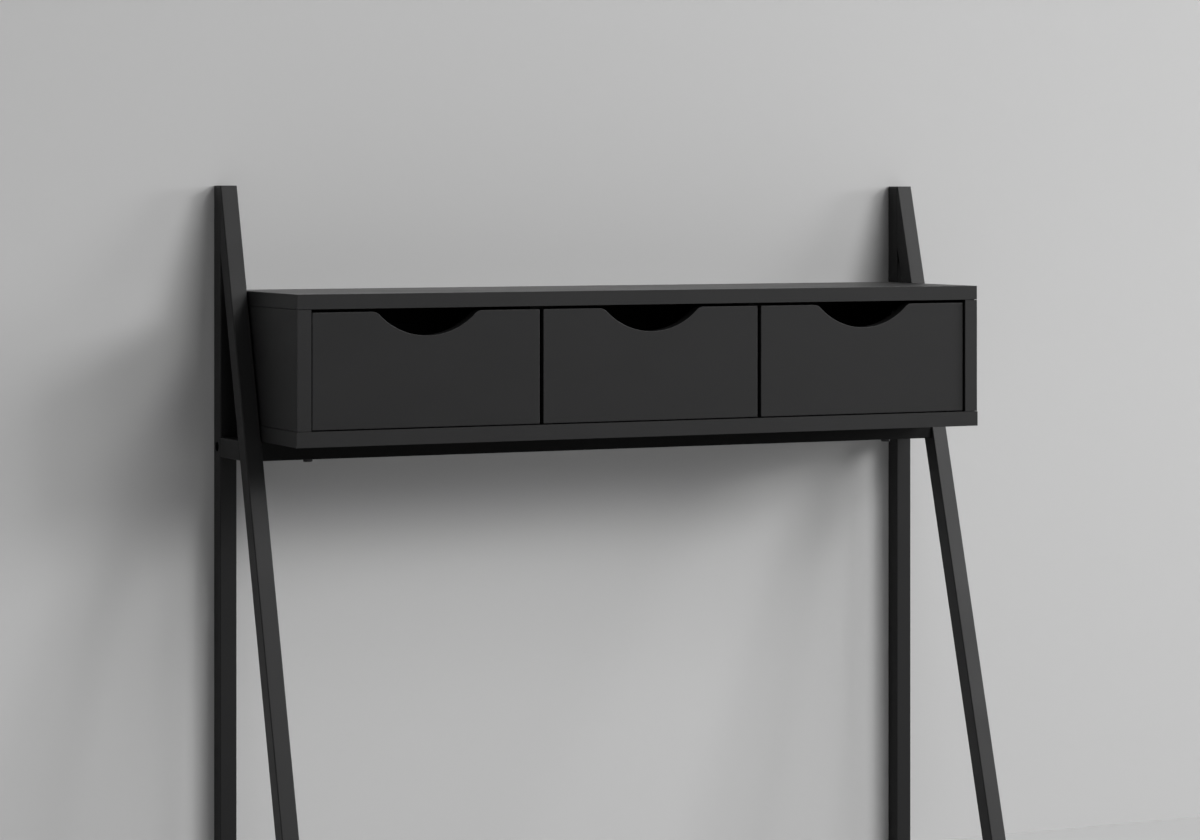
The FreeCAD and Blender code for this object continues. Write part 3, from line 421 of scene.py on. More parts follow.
@dataclass(frozen=True)
class PressedFibre:
    """Dark painted hardboard: matted fibres show through the thin paint."""

    name: str = "painted_hardboard"
    colour: Point = (0.03, 0.028, 0.026)
    fibre_colour: Point = (0.055, 0.047, 0.04)
    fibre: float = 1.1
    cloud: float = 60.0

    def material(self) -> Material:
        """Build the finish.

        Returns:
            The material.
        """
        coat = Coat(self.name)
        across = coat.noise(self.fibre, 3.0, (0.18, 1.0, 1.0))
        along = coat.noise(self.fibre, 3.0, (1.0, 1.0, 0.18), 6.0)
        fibre = coat.span(across * 0.5 + along * 0.5, 0.5, 0.62)
        cloud = coat.noise(self.cloud, 3.0, shift=2.0)
        shown = fibre * coat.span(cloud, 0.35, 0.7, 0.3)
        colour = coat.blend(shown, self.colour, self.fibre_colour)
        rough = 0.66 + (cloud - 0.5) * 0.14 - fibre * 0.06
        return coat.close(colour, rough, coat.bump(fibre, 0.05))


@dataclass(frozen=True)
class Moulding:
    """Black moulded plastic with a fine spark-eroded grain."""

    name: str = "moulded_caps"
    colour: Point = (0.016, 0.016, 0.016)
    scuff_colour: Point = (0.032, 0.032, 0.032)
    grain: float = 0.5
    scuff: float = 12.0

    def material(self) -> Material:
        """Build the finish.

        Returns:
            The material.
        """
        coat = Coat(self.name)
        grain = coat.noise(self.grain, 2.0)
        scuff = coat.span(coat.noise(self.scuff, 4.0, (1.0, 1.0, 3.0), 4.0), 0.55, 0.75)
        colour = coat.blend(scuff * 0.6 + coat.rim() * 0.4, self.colour, self.scuff_colour)
        rough = 0.56 + (grain - 0.5) * 0.12 + scuff * 0.08
        return coat.close(colour, rough, coat.bump(grain, 0.03))


@dataclass(frozen=True)
class BlackOxide:
    """Blackened steel bolts: dark, slightly metallic, rubbed bright on the edges."""

    name: str = "black_oxide"
    colour: Point = (0.02, 0.02, 0.021)
    edge_colour: Point = (0.1, 0.1, 0.1)
    patch: float = 1.6
    grain: float = 0.3

    def material(self) -> Material:
        """Build the finish.

        Returns:
            The material.
        """
        coat = Coat(self.name)
        patch = coat.noise(self.patch, 3.0)
        worn = coat.rim() * coat.span(patch, 0.45, 0.7, 0.1, 0.8)
        colour = coat.blend(worn, self.colour, self.edge_colour)
        relief = coat.bump(coat.noise(self.grain), 0.006)
        return coat.close(colour, 0.38 + (patch - 0.5) * 0.2, relief, metal=0.6)


@dataclass(frozen=True)
class PlatedSteel:
    """Zinc-plated steel with drawing marks along Y and cloudy passivation."""

    name: str
    colour: Point
    cloud_colour: Point
    roughness: float
    drawn: float = 0.02
    streak: float = 0.4
    cloud: float = 9.0

    def material(self) -> Material:
        """Build the finish.

        Returns:
            The material.
        """
        coat = Coat(self.name)
        streak = coat.noise(self.streak, 2.0, (1.0, self.drawn, 1.0))
        cloud = coat.noise(self.cloud, 4.0, shift=5.0)
        colour = coat.blend(coat.span(cloud, 0.35, 0.68), self.colour, self.cloud_colour)
        rough = self.roughness + (streak - 0.5) * 0.16 + (cloud - 0.5) * 0.12
        return coat.close(colour, rough, coat.bump(streak, 0.008), metal=1.0)


@dataclass(frozen=True)
class Beech:
    """Plain beech for the dowels, with short rays."""

    name: str = "beech"
    colour: Point = (0.55, 0.38, 0.22)
    ray_colour: Point = (0.36, 0.21, 0.11)
    ray: float = 0.5
    cloud: float = 6.0

    def material(self) -> Material:
        """Build the finish.

        Returns:
            The material.
        """
        coat = Coat(self.name)
        rays = coat.span(coat.noise(self.ray, 2.0, (1.0, 1.0, 0.15)), 0.55, 0.7)
        cloud = coat.noise(self.cloud, 2.0, (1.0, 1.0, 0.3), 3.0)
        colour = coat.blend(rays * 0.6 + cloud * 0.25, self.colour, self.ray_colour)
        return coat.close(colour, 0.55 + rays * 0.1, coat.bump(1.0 - rays, 0.03))


def make_finishes() -> dict[Slot, Material]:
    """Build every finish once.

    Returns:
        The material of each slot.
    """
    charcoal, paler = (0.0103, 0.0103, 0.0106), (0.0128, 0.0128, 0.0131)
    finishes = {
        Slot.FRAME: PowderCoat(),
        Slot.CAP: Moulding(),
        Slot.BOLT: BlackOxide(),
        Slot.DESKTOP: Lacquer("desktop_lacquer", paler, 0.54, 0.42),
        Slot.BOX: Lacquer("box_lacquer", paler, 0.54, 0.54, 1.7),
        Slot.FRONT: Lacquer("front_lacquer", charcoal, 0.56, 0.56, 3.3),
        Slot.DRAWER: Foil(),
        Slot.HARDBOARD: PressedFibre(),
        Slot.DOWEL: Beech(),
        Slot.ZINC: PlatedSteel("bright_zinc", (0.55, 0.56, 0.58), (0.47, 0.48, 0.5), 0.3),
        Slot.SLIDE: PlatedSteel("dark_zinc", (0.3, 0.31, 0.33), (0.22, 0.23, 0.25), 0.34),
    }
    return {slot: finish.material() for slot, finish in finishes.items()}


# ---- shaping -------------------------------------------------------------------------------


def new_object(name: str, data: ID) -> Object:
    """Put something into the scene at the origin.

    Args:
        name: the object's name.
        data: its mesh, lamp or camera.

    Returns:
        The new object.
    """
    made = bpy.data.objects.new(name, data)
    bpy.context.scene.collection.objects.link(made)
    return made


def finished(name: str, shape: BMesh) -> Object:
    """Turn a working shape into an object and free the shape.

    Args:
        name: the object's name.
        shape: the working shape.

    Returns:
        The new object.
    """
    mesh = bpy.data.meshes.new(name)
    shape.to_mesh(mesh)
    shape.free()
    return new_object(name, mesh)


def settle(item: Object) -> None:
    """Make an object's modifiers part of its mesh and drop them.

    Args:
        item: the object.
    """
    evaluated = item.evaluated_get(bpy.context.evaluated_depsgraph_get())
    mesh = bpy.data.meshes.new_from_object(evaluated)
    item.modifiers.clear()
    old, item.data = item.data, mesh
    bpy.data.meshes.remove(old)


def discard(*items: Object) -> None:
    """Remove helper objects and their meshes.

    Args:
        items: the objects.
    """
    for item in items:
        mesh = item.data
        bpy.data.objects.remove(item)
        bpy.data.meshes.remove(mesh)


def lofted(name: str, rings: Sequence[Sequence[Point]], hollow: bool = False) -> Object:
    """A closed shape through rings of equally many points.

    Args:
        name: the object's name.
        rings: the rings in metres, one after the other.
        hollow: whether the last ring joins the first; without it both ends get a face.

    Returns:
        The shape.
    """
    shape = bmesh.new()
    loops = [[shape.verts.new(point) for point in ring] for ring in rings]
    for near, far in zip(loops, loops[1:] + loops[:hollow]):
        for corners in zip(near, near[1:] + near[:1], far[1:] + far[:1], far):
            shape.faces.new(corners)
    if not hollow:
        shape.faces.new(loops[0])
        shape.faces.new(loops[-1][::-1])
    bmesh.ops.recalc_face_normals(shape, faces=shape.faces)
    return finished(name, shape)


def merged(node: str) -> BMesh:
    """A working copy of a node's mesh with its doubles merged.

    Args:
        node: the node.

    Returns:
        The working shape, which whoever asks for it frees.
    """
    shape = bmesh.new()
    shape.from_mesh(frame["nodes"][node].data)
    bmesh.ops.remove_doubles(shape, verts=shape.verts, dist=MERGE)
    return shape


def own_shape(node: str) -> Object:
    """A copy of a node's mesh with its flat faces whole.

    Args:
        node: the node.

    Returns:
        The copy.
    """
    shape = merged(node)
    bmesh.ops.dissolve_limit(shape, angle_limit=0.01, verts=shape.verts, edges=shape.edges)
    return finished(node + FINISH, shape)


@dataclass(frozen=True)
class Edge:
    """A rounded edge: its radius in millimetres and the number of faces round it."""

    radius: float
    faces: int = 2


@dataclass
class Shop:
    """The finishing shop: softens edges, cuts holes, paints pieces and mounts them."""

    finishes: dict[Slot, Material]
    smooth_below: float = 36.0

    def cut(self, item: Object, cutters: Sequence[Object]) -> None:
        """Subtract closed cutters from a piece and discard them.

        Args:
            item: the piece.
            cutters: the closed shapes to take away.
        """
        for cutter in cutters:
            cutting = item.modifiers.new("cut", "BOOLEAN")
            cutting.operation = "DIFFERENCE"
            cutting.solver = "EXACT"
            cutting.object = cutter
        settle(item)
        discard(*cutters)

    def soften(self, item: Object, edge: Edge) -> None:
        """Round the sharp edges, mark them as the rim, and shade the piece.

        Args:
            item: a closed piece.
            edge: its rounded edge.
        """
        item.data.materials.clear()
        for _ in range(2):
            item.data.materials.append(None)
        item.data.polygons.foreach_set("material_index", [0] * len(item.data.polygons))
        rounding = item.modifiers.new("edges", "BEVEL")
        rounding.width = edge.radius * MM
        rounding.segments = edge.faces
        rounding.limit_method = "ANGLE"
        rounding.angle_limit = math.radians(self.smooth_below)
        rounding.material = 1
        settle(item)
        mesh = item.data
        rims = [float(face.material_index == 1) for face in mesh.polygons]
        mesh.attributes.new(RIM, "FLOAT", "FACE").data.foreach_set("value", rims)
        mesh.materials.clear()
        mesh.polygons.foreach_set("material_index", [0] * len(rims))
        self.shade(item)

    def shade(self, item: Object) -> None:
        """Smooth shading that keeps flat faces flat and hard corners hard.

        Args:
            item: the piece.
        """
        item.data.shade_smooth()
        item.data.set_sharp_from_angle(angle=math.radians(self.smooth_below))
        weighting = item.modifiers.new("weights", "WEIGHTED_NORMAL")
        weighting.keep_sharp = True
        settle(item)

    def mount(
        self, item: Object, slot: Slot, node: str = "", finish: Material | None = None
    ) -> None:
        """Paint a finished piece and fix it to its body.

        Args:
            item: the piece.
            slot: the slot of its finish.
            node: the node that it stands for; without one it rides on the desk.
            finish: a finish of its own, where it isn't the slot's.
        """
        body = frame["nodes"][node]["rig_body"] if node else "desk"
        item.data.materials.clear()
        item.data.materials.append(finish or self.finishes[slot])
        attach(item, body)
        if node:
            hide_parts(node)
        log.info("%s on %s: %d faces", item.name, body, len(item.data.polygons))

    def dress(
        self, node: str, slot: Slot, edge: Edge, item: Object | None = None,
        cutters: Sequence[Object] = (), finish: Material | None = None,
    ) -> None:
        """Soften a piece, cut it where its new edges stay sharp, and mount it.

        Args:
            node: the node that it stands for.
            slot: the slot of its finish.
            edge: its rounded edge.
            item: its new shape, where it isn't the node's own.
            cutters: closed shapes to take away after softening.
            finish: a finish of its own, where it isn't the slot's.
        """
        item = item or own_shape(node)
        self.soften(item, edge)
        if cutters:
            self.cut(item, cutters)
            self.shade(item)
        self.mount(item, slot, node, finish)

    def paint(self, node: str, slot: Slot) -> None:
        """Give a node that keeps its own mesh its finish.

        Args:
            node: the node.
            slot: the slot of its finish.
        """
        item = frame["nodes"][node]
        item.data.materials.clear()
        item.data.materials.append(self.finishes[slot])
        log.info("%s painted", node)


def prism(name: str, outline: Sequence[Flat], low: float, high: float) -> Object:
    """A closed prism from low to high along Y, with its outline in X and Z, all in metres."""
    return lofted(name, [[(x, y, z) for x, z in outline] for y in (low, high)])


def block(name: str, low: Point, high: Point) -> Object:
    """A closed block between two corners, for cutting."""
    corners = [(low[0], low[2]), (high[0], low[2]), (high[0], high[2]), (low[0], high[2])]
    return prism(name, corners, low[1], high[1])


def drill(centre: Point, direction: Point, diameter: float, depth: float) -> Object:
    """A drill for a round hole, which starts just outside the surface.

    Args:
        centre: the hole's middle on the surface, in metres.
        direction: the way into the piece.
        diameter: the hole's diameter in millimetres.
        depth: its depth in metres.

    Returns:
        The drill, to be cut away.
    """
    overrun, radius = 0.5 * MM, diameter * MM / 2
    aim = Vector(direction).normalized()
    turn = aim.to_track_quat("Z", "Y").to_matrix().to_4x4()
    middle = Vector(centre) + aim * (depth - overrun) / 2
    shape = bmesh.new()
    bmesh.ops.create_cone(
        shape, cap_ends=True, segments=64, radius1=radius, radius2=radius,
        depth=depth + overrun, matrix=Matrix.Translation(middle) @ turn,
    )
    return finished("drill", shape)


@dataclass(frozen=True)
class End:
    """One end of a tube: its corner, and the directions of its section's two sides."""

    corner: Point
    across: Point
    up: Point

    def place(self, wide: float, high: float) -> Point:
        """The place in metres of a point of the section, which is in millimetres."""
        parts = zip(self.corner, self.across, self.up)
        return tuple(start + (a * wide + b * high) * MM for start, a, b in parts)


@dataclass(frozen=True)
class TubeSection:
    """A rectangular tube's section in millimetres, with its lower left corner at the origin."""

    width: float = 22.0
    depth: float = 24.0
    wall_across: float = 1.5
    wall_up: float = 1.5
    corner: float = 1.4
    inner_corner: float = 0.5
    steps: int = 6

    def _loop(self, inset_across: float, inset_up: float, corner: float) -> list[Flat]:
        """A rounded rectangle inside the section, counter-clockwise.

        Args:
            inset_across: how far it lies inside the section's left and right sides.
            inset_up: how far it lies inside the lower and upper side.
            corner: the radius of its corners.

        Returns:
            Its points.
        """
        left, low = inset_across + corner, inset_up + corner
        right, high = self.width - left, self.depth - low
        points = []
        for across, up, start in (
            (right, low, -90), (right, high, 0), (left, high, 90), (left, low, 180)
        ):
            for step in range(self.steps + 1):
                angle = math.radians(start + 90 * step / self.steps)
                points.append((across + corner * math.cos(angle), up + corner * math.sin(angle)))
        return points

    def tube(self, node: str, first: End, last: End) -> Object:
        """A hollow tube between two ends.

        Args:
            node: the node that it stands for.
            first: the first end.
            last: the other end.

        Returns:
            The closed tube.
        """
        outside = self._loop(0.0, 0.0, self.corner)
        inside = self._loop(self.wall_across, self.wall_up, self.inner_corner)
        turns = (outside, first), (outside, last), (inside, last), (inside, first)
        rings = [[end.place(*point) for point in loop] for loop, end in turns]
        return lofted(node + FINISH, rings, hollow=True)


# ---- repeated hardware ---------------------------------------------------------------------


class GrowthTree(Graph):
    """A geometry node tree with named inputs that turns a carrier into plain meshes."""

    def __init__(self, name: str, **inputs: str) -> None:
        """Start a tree.

        Args:
            name: the tree's name.
            inputs: the kind of each input, such as Float; a finish is always added.
        """
        super().__init__(bpy.data.node_groups.new(name, "GeometryNodeTree"))
        kinds = {"Geometry": "Geometry", **inputs, "Finish": "Material"}
        sockets = self.tree.interface
        for label, kind in kinds.items():
            sockets.new_socket(label, in_out="INPUT", socket_type="NodeSocket" + kind)
        sockets.new_socket("Geometry", in_out="OUTPUT", socket_type="NodeSocketGeometry")
        self.inputs = self.node("NodeGroupInput").outputs

    def close(self, geometry: NodeSocket) -> None:
        """End in Realize Instances, smooth shading and Set Material.

        Args:
            geometry: what the tree has grown.
        """
        real = self.node("GeometryNodeRealizeInstances", {0: geometry})
        smooth = self.node("GeometryNodeSetShadeSmooth", {0: real.outputs[0]})
        sockets = {"Geometry": smooth.outputs[0], "Material": self.inputs["Finish"]}
        painted = self.node("GeometryNodeSetMaterial", sockets)
        self.node("NodeGroupOutput", {0: painted.outputs[0]})

    def grow(self, name: str, carrier: Mesh, values: dict) -> Object:
        """Run the tree on a carrier.

        Args:
            name: the new object's name.
            carrier: the mesh whose points or edges the pieces follow.
            values: the inputs by name.

        Returns:
            A plain mesh object without modifiers.
        """
        item = new_object(name, carrier)
        modifier = item.modifiers.new("growth", "NODES")
        modifier.node_group = self.tree
        for socket in self.tree.interface.items_tree:
            if socket.in_out == "INPUT" and socket.name in values:
                modifier[socket.identifier] = values[socket.name]
        settle(item)
        return item


def screw_tree() -> GrowthTree:
    """A tree that sets a screw on each point, aimed along it and turned by chance.

    Returns:
        The tree. Its carrier's attribute AIM is the way in which each head points.
    """
    tree = GrowthTree("screw_set", Screw="Object", Turn="Float", Seed="Int")
    screw = tree.node("GeometryNodeObjectInfo", {"Object": tree.inputs["Screw"]})
    aim = tree.node("GeometryNodeInputNamedAttribute", {"Name": AIM}, data_type="FLOAT_VECTOR")
    aligned = tree.node("FunctionNodeAlignRotationToVector", {"Vector": aim.outputs[0]}, axis="Z")
    sockets = {2: 0.0, 3: tree.inputs["Turn"], "Seed": tree.inputs["Seed"]}
    chance = tree.node("FunctionNodeRandomValue", sockets, data_type="FLOAT")
    spin = tree.node("FunctionNodeAxisAngleToRotation", {"Axis": UP, "Angle": chance.outputs[1]})
    sockets = {"Rotation": aligned.outputs[0], "Rotate By": spin.outputs[0]}
    turned = tree.node("FunctionNodeRotateRotation", sockets, rotation_space="LOCAL")
    placed = tree.node("GeometryNodeInstanceOnPoints", {
        "Points": tree.inputs["Geometry"], "Instance": screw.outputs["Geometry"],
        "Rotation": turned.outputs[0],
    })
    tree.close(placed.outputs[0])
    return tree


def weld_tree() -> GrowthTree:
    """A tree that runs a rippled bead of weld along each edge.

    Returns:
        The tree.
    """
    tree = GrowthTree("weld_beads", Size="Float", Pitch="Float", Ripple="Float", Seed="Int")
    line = tree.node("GeometryNodeMeshToCurve", {0: tree.inputs["Geometry"]})
    sockets = {"Curve": line.outputs[0], "Length": tree.inputs["Pitch"]}
    fine = tree.node("GeometryNodeResampleCurve", sockets, mode="LENGTH")
    sockets = {2: -1.0, 3: 1.0, "Seed": tree.inputs["Seed"]}
    chance = tree.node("FunctionNodeRandomValue", sockets, data_type="FLOAT")
    swell = 1.0 + Value(chance.outputs[1]) * Value(tree.inputs["Ripple"])
    profile = tree.node("GeometryNodeCurvePrimitiveCircle", {"Resolution": 12, "Radius": 1.0})
    bead = tree.node("GeometryNodeCurveToMesh", {
        "Curve": fine.outputs[0], "Profile Curve": profile.outputs[0],
        "Scale": swell * Value(tree.inputs["Size"]), "Fill Caps": True,
    })
    tree.close(bead.outputs[0])
    return tree


@dataclass(frozen=True)
class Fastener:
    """A screw on the Z axis, in millimetres: the shank hangs below 0 and the head stands on it."""

    head_diameter: float
    head_height: float
    shank_diameter: float
    shank_length: float
    recess: Recess
    recess_size: float
    recess_depth: float
    crown: float
    facets: int = 72

    def _recess_radius(self, angle: float) -> float:
        """How far the recess reaches from the axis.

        Args:
            angle: the direction, in radians.

        Returns:
            The distance in millimetres.
        """
        half = self.recess_size / 2
        if self.recess is Recess.HEX:
            return half / math.cos((angle + math.pi / 6) % (math.pi / 3) - math.pi / 6)
        off = abs((angle + math.pi / 4) % (math.pi / 2) - math.pi / 4)
        arm = 0.2 * self.recess_size
        return min(half / math.cos(off), arm / max(math.sin(off), 0.01))

    def shape(self, name: str) -> Object:
        """Turn the screw on a lathe and press its recess.

        Args:
            name: the object's name.

        Returns:
            The closed screw.
        """
        radius, high, crown = self.head_diameter / 2, self.head_height, self.crown
        shank, tip, floor = self.shank_diameter / 2, self.shank_length, high - self.recess_depth
        angles = [2 * math.pi * index / self.facets for index in range(self.facets)]
        recess = [self._recess_radius(angle) for angle in angles]
        point, neck, chamfer, lip = 0.6, 0.15, 0.5, 0.12
        centre = floor - 0.1 * self.recess_depth
        pressed = [(0.45, centre), (0.88, floor), (0.95, high - lip), (1.05, high)]
        bend = [math.radians(step) for step in (0, 22, 45, 68, 90)]
        turned = [
            (radius - crown * (1 - math.sin(a)), high - crown * (1 - math.cos(a))) for a in bend
        ]
        turned += [(radius, neck), (radius - neck, 0.0), (shank, 0.0)]
        turned += [(shank, point - tip), (shank - chamfer, -tip)]
        rings = [([share * reach for reach in recess], height) for share, height in pressed]
        rings += [([reach] * self.facets, height) for reach, height in turned]
        return lofted(name, [
            [(reach * math.cos(a) * MM, reach * math.sin(a) * MM, height * MM)
             for reach, a in zip(reaches, angles)]
            for reaches, height in rings
        ])


def islands(node: str) -> list[Box]:
    """The boxes of the separate solids of a node.

    Args:
        node: the node.

    Returns:
        The lowest and highest corner of each solid, in the order of the lowest corners.
    """
    shape = merged(node)
    waiting, found = set(shape.verts), []
    while waiting:
        stack = [waiting.pop()]
        group = list(stack)
        while stack:
            for edge in stack.pop().link_edges:
                for vertex in waiting.intersection(edge.verts):
                    waiting.remove(vertex)
                    stack.append(vertex)
                    group.append(vertex)
        places = [vertex.co for vertex in group]
        found.append(tuple(
            Vector([pick(place[axis] for place in places) for axis in range(3)])
            for pick in (min, max)
        ))
    shape.free()
    return sorted(found, key=lambda pair: tuple(round(part, 5) for part in pair[0]))


def channel_boxes() -> list[Box]:
    """The boxes of every slide channel, on the case and on the drawers."""
    nodes = [bay.part(part) for bay in Bay for part in ("case_slides", "drawer_slides")]
    return [box for node in nodes for box in islands(node)]


@dataclass
class Hardware:
    """Sets of equal fasteners, grown on the places of the nodes that they stand for."""

    shop: Shop
    screws: GrowthTree = field(default_factory=screw_tree)

    def fit(self, node: str, kind: Fastener, slot: Slot, aim: Aim, seed: int) -> None:
        """Grow a set of screws, one in the place of each solid of a node.

        Args:
            node: the node that the set stands for.
            kind: the screw.
            slot: the slot of its finish.
            aim: gives the way in which a head points, from the corners of its solid's box.
            seed: fixes the chance turns of the heads.
        """
        solids = islands(node)
        aims = [aim(low, high) for low, high in solids]
        carrier = bpy.data.meshes.new("carrier")
        points = []
        for (low, high), way in zip(solids, (Vector(way) for way in aims)):
            reach = sum(abs(part) * size / 2 for part, size in zip(way, high - low))
            points.append((low + high) / 2 + way * (reach - kind.head_height * MM))
        carrier.from_pydata(points, [], [])
        flat = [part for way in aims for part in way]
        carrier.attributes.new(AIM, "FLOAT_VECTOR", "POINT").data.foreach_set("vector", flat)
        sample = kind.shape(node + "_sample")
        item = self.screws.grow(node + FINISH, carrier, {
            "Screw": sample, "Turn": 2 * math.pi, "Seed": seed,
            "Finish": self.shop.finishes[slot],
        })
        discard(sample)
        item.data.set_sharp_from_angle(angle=math.radians(self.shop.smooth_below))
        self.shop.mount(item, slot, node)


# ---- sub-assemblies ------------------------------------------------------------------------


@dataclass
class SideFrame:
    """One side frame: upright leg, leaning leg and short rail."""

    shop: Shop
    side: Side
    section: TubeSection = TubeSection()
    edge: Edge = Edge(0.25)
    access_hole: float = 12.4
    bolt_hole: float = 6.4
    hole_from_wall: float = 11.0
    scarf_reach: float = 400.0
    tip_land: float = 0.8
    seam_inset: float = 2.6

    def build(self) -> None:
        """Build and mount the frame's tubes."""
        self.rear_leg()
        self.front_leg()
        self.side_rail()

    def lean(self) -> float:
        """How far the front leg moves towards the wall on each metre that it rises.

        Returns:
            The slope.
        """
        low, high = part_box(self.side.part("front_leg"))
        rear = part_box(self.side.part("rear_leg"))[0].y
        return (rear - self.tip_land * MM - low.y) / (high.z - low.z)

    def rear_leg(self) -> None:
        """The upright leg, with the bolt hole and the access hole outside it."""
        node = self.side.part("rear_leg")
        low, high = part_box(node)
        top = (low.x, low.y, high.z)
        item = self.section.tube(node, End(low, ACROSS, BACK), End(top, ACROSS, BACK))
        rail_low, rail_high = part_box(self.side.part("side_rail"))
        outside = low.x if self.side is Side.LEFT else high.x
        start = (outside, high.y - self.hole_from_wall * MM, (rail_low.z + rail_high.z) / 2)
        inward, width = (-self.side.value, 0, 0), high.x - low.x
        self.shop.cut(item, [
            drill(start, inward, self.access_hole, width / 2),
            drill(start, inward, self.bolt_hole, width + MM),
        ])
        self.shop.dress(node, Slot.FRAME, self.edge, item)

    def front_leg(self) -> None:
        """The leaning leg, cut level at the foot and upright against the rear leg."""
        node = self.side.part("front_leg")
        low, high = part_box(node)
        rear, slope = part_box(self.side.part("rear_leg"))[0].y, self.lean()
        longer = math.hypot(1, slope)
        level = replace(
            self.section, depth=self.section.depth * longer, wall_up=self.section.wall_up * longer
        )
        top = (low.x, low.y + slope * (high.z - low.z), high.z)
        item = level.tube(node, End(low, ACROSS, BACK), End(top, ACROSS, BACK))
        reach = self.scarf_reach * MM
        start, end = (low.x - MM, rear, high.z - reach), (high.x + MM, rear + reach, high.z + MM)
        self.shop.cut(item, [block("scarf", start, end)])
        self.shop.dress(node, Slot.FRAME, self.edge, item)

    def side_rail(self) -> None:
        """The level rail, mitred to the front leg's lean."""
        node = self.side.part("side_rail")
        low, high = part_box(node)
        rear, mitred = (low.x, high.y, low.z), (0, self.lean(), 1)
        item = self.section.tube(node, End(rear, ACROSS, UP), End(low, ACROSS, mitred))
        self.shop.dress(node, Slot.FRAME, self.edge, item)

    def seams(self) -> list[Point]:
        """The weld seams where the rail and the front leg meet the legs.

        Returns:
            The two ends of each seam, one seam after the other.
        """
        low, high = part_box(self.side.part("side_rail"))
        foot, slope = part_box(self.side.part("front_leg"))[0], self.lean()
        run, inset = self.section.depth * MM * math.hypot(1, slope), self.seam_inset * MM
        crotch = foot.z + (high.y - run - foot.y) / slope
        rail_end = low.y + slope * (high.z - low.z)
        places = [
            (high.y, high.z), (high.y, low.z), (low.y, low.z), (rail_end, high.z), (high.y, crotch)
        ]
        return [(x, y, z) for y, z in places for x in (low.x + inset, high.x - inset)]


@dataclass
class Undercarriage:
    """Stretchers, their inner parts, caps, feet and bolts, and the welds of both frames."""

    shop: Shop
    hardware: Hardware
    frames: Sequence[SideFrame]
    section: TubeSection = TubeSection()
    # The bars' colour is a darker copy of the legs' coat: painted shade from the box above. Their
    # higher roughness and lower gloss make the coat matte.
    coat: PowderCoat = PowderCoat("bar_powder_coat", (0.006,) * 3, (0.012,) * 3, 0.68, 0.1)
    edge: Edge = Edge(0.25)
    cap_edge: Edge = Edge(0.7, 3)
    bolt_hole: float = 6.4
    box_bolt: Fastener = Fastener(12, 3.4, 6, 35, Recess.HEX, 4, 2.3, 1.1)
    leg_bolt: Fastener = Fastener(10.5, 3.4, 6, 21.5, Recess.HEX, 4, 2.3, 1.0)
    bead_size: float = 1.7
    bead_pitch: float = 0.9
    bead_ripple: float = 0.14
    bead_seed: int = 11

    def build(self) -> None:
        """Build and mount the pieces under the box."""
        coat = self.coat.material()
        self.stretcher("front_stretcher", coat)
        self.shop.paint("front_stretcher_spigots", Slot.ZINC)
        self.stretcher("rear_stretcher", coat)
        self.shop.paint("rear_stretcher_end_plugs", Slot.CAP)
        for node in ("leg_top_caps", "rear_foot_caps", "front_foot_caps"):
            self.shop.dress(node, Slot.CAP, self.cap_edge)
        self.hardware.fit("box_bolts", self.box_bolt, Slot.BOLT, lambda low, high: DOWN, seed=3)
        self.hardware.fit(
            "rear_stretcher_bolts", self.leg_bolt, Slot.BOLT,
            lambda low, high: (math.copysign(1, low.x + high.x), 0, 0), seed=5,
        )
        self.welds()
        self.shop.paint("box_bolt_inserts", Slot.ZINC)

    def stretcher(self, node: str, coat: Material) -> None:
        """A bar with its two bolt holes.

        Args:
            node: the bar's node.
            coat: the bar's own coat, whose darker colour is painted shade.
        """
        low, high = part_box(node)
        end = (high.x, low.y, low.z)
        item = self.section.tube(node, End(low, BACK, UP), End(end, BACK, UP))
        drills = []
        for bolt in islands("box_bolts"):
            centre = (bolt[0] + bolt[1]) / 2
            if low.y < centre.y < high.y:
                start = (centre.x, (low.y + high.y) / 2, low.z)
                drills.append(drill(start, UP, self.bolt_hole, high.z - low.z + MM))
        self.shop.cut(item, drills)
        self.shop.dress(node, Slot.FRAME, self.edge, item, finish=coat)

    def welds(self) -> None:
        """Beads along the seams of both frames."""
        points = [point for side in self.frames for point in side.seams()]
        carrier = bpy.data.meshes.new("carrier")
        carrier.from_pydata(points, [(at, at + 1) for at in range(0, len(points), 2)], [])
        item = weld_tree().grow("weld_beads", carrier, {
            "Size": self.bead_size * MM, "Pitch": self.bead_pitch * MM,
            "Ripple": self.bead_ripple, "Seed": self.bead_seed,
            "Finish": self.shop.finishes[Slot.FRAME],
        })
        self.shop.mount(item, Slot.FRAME)


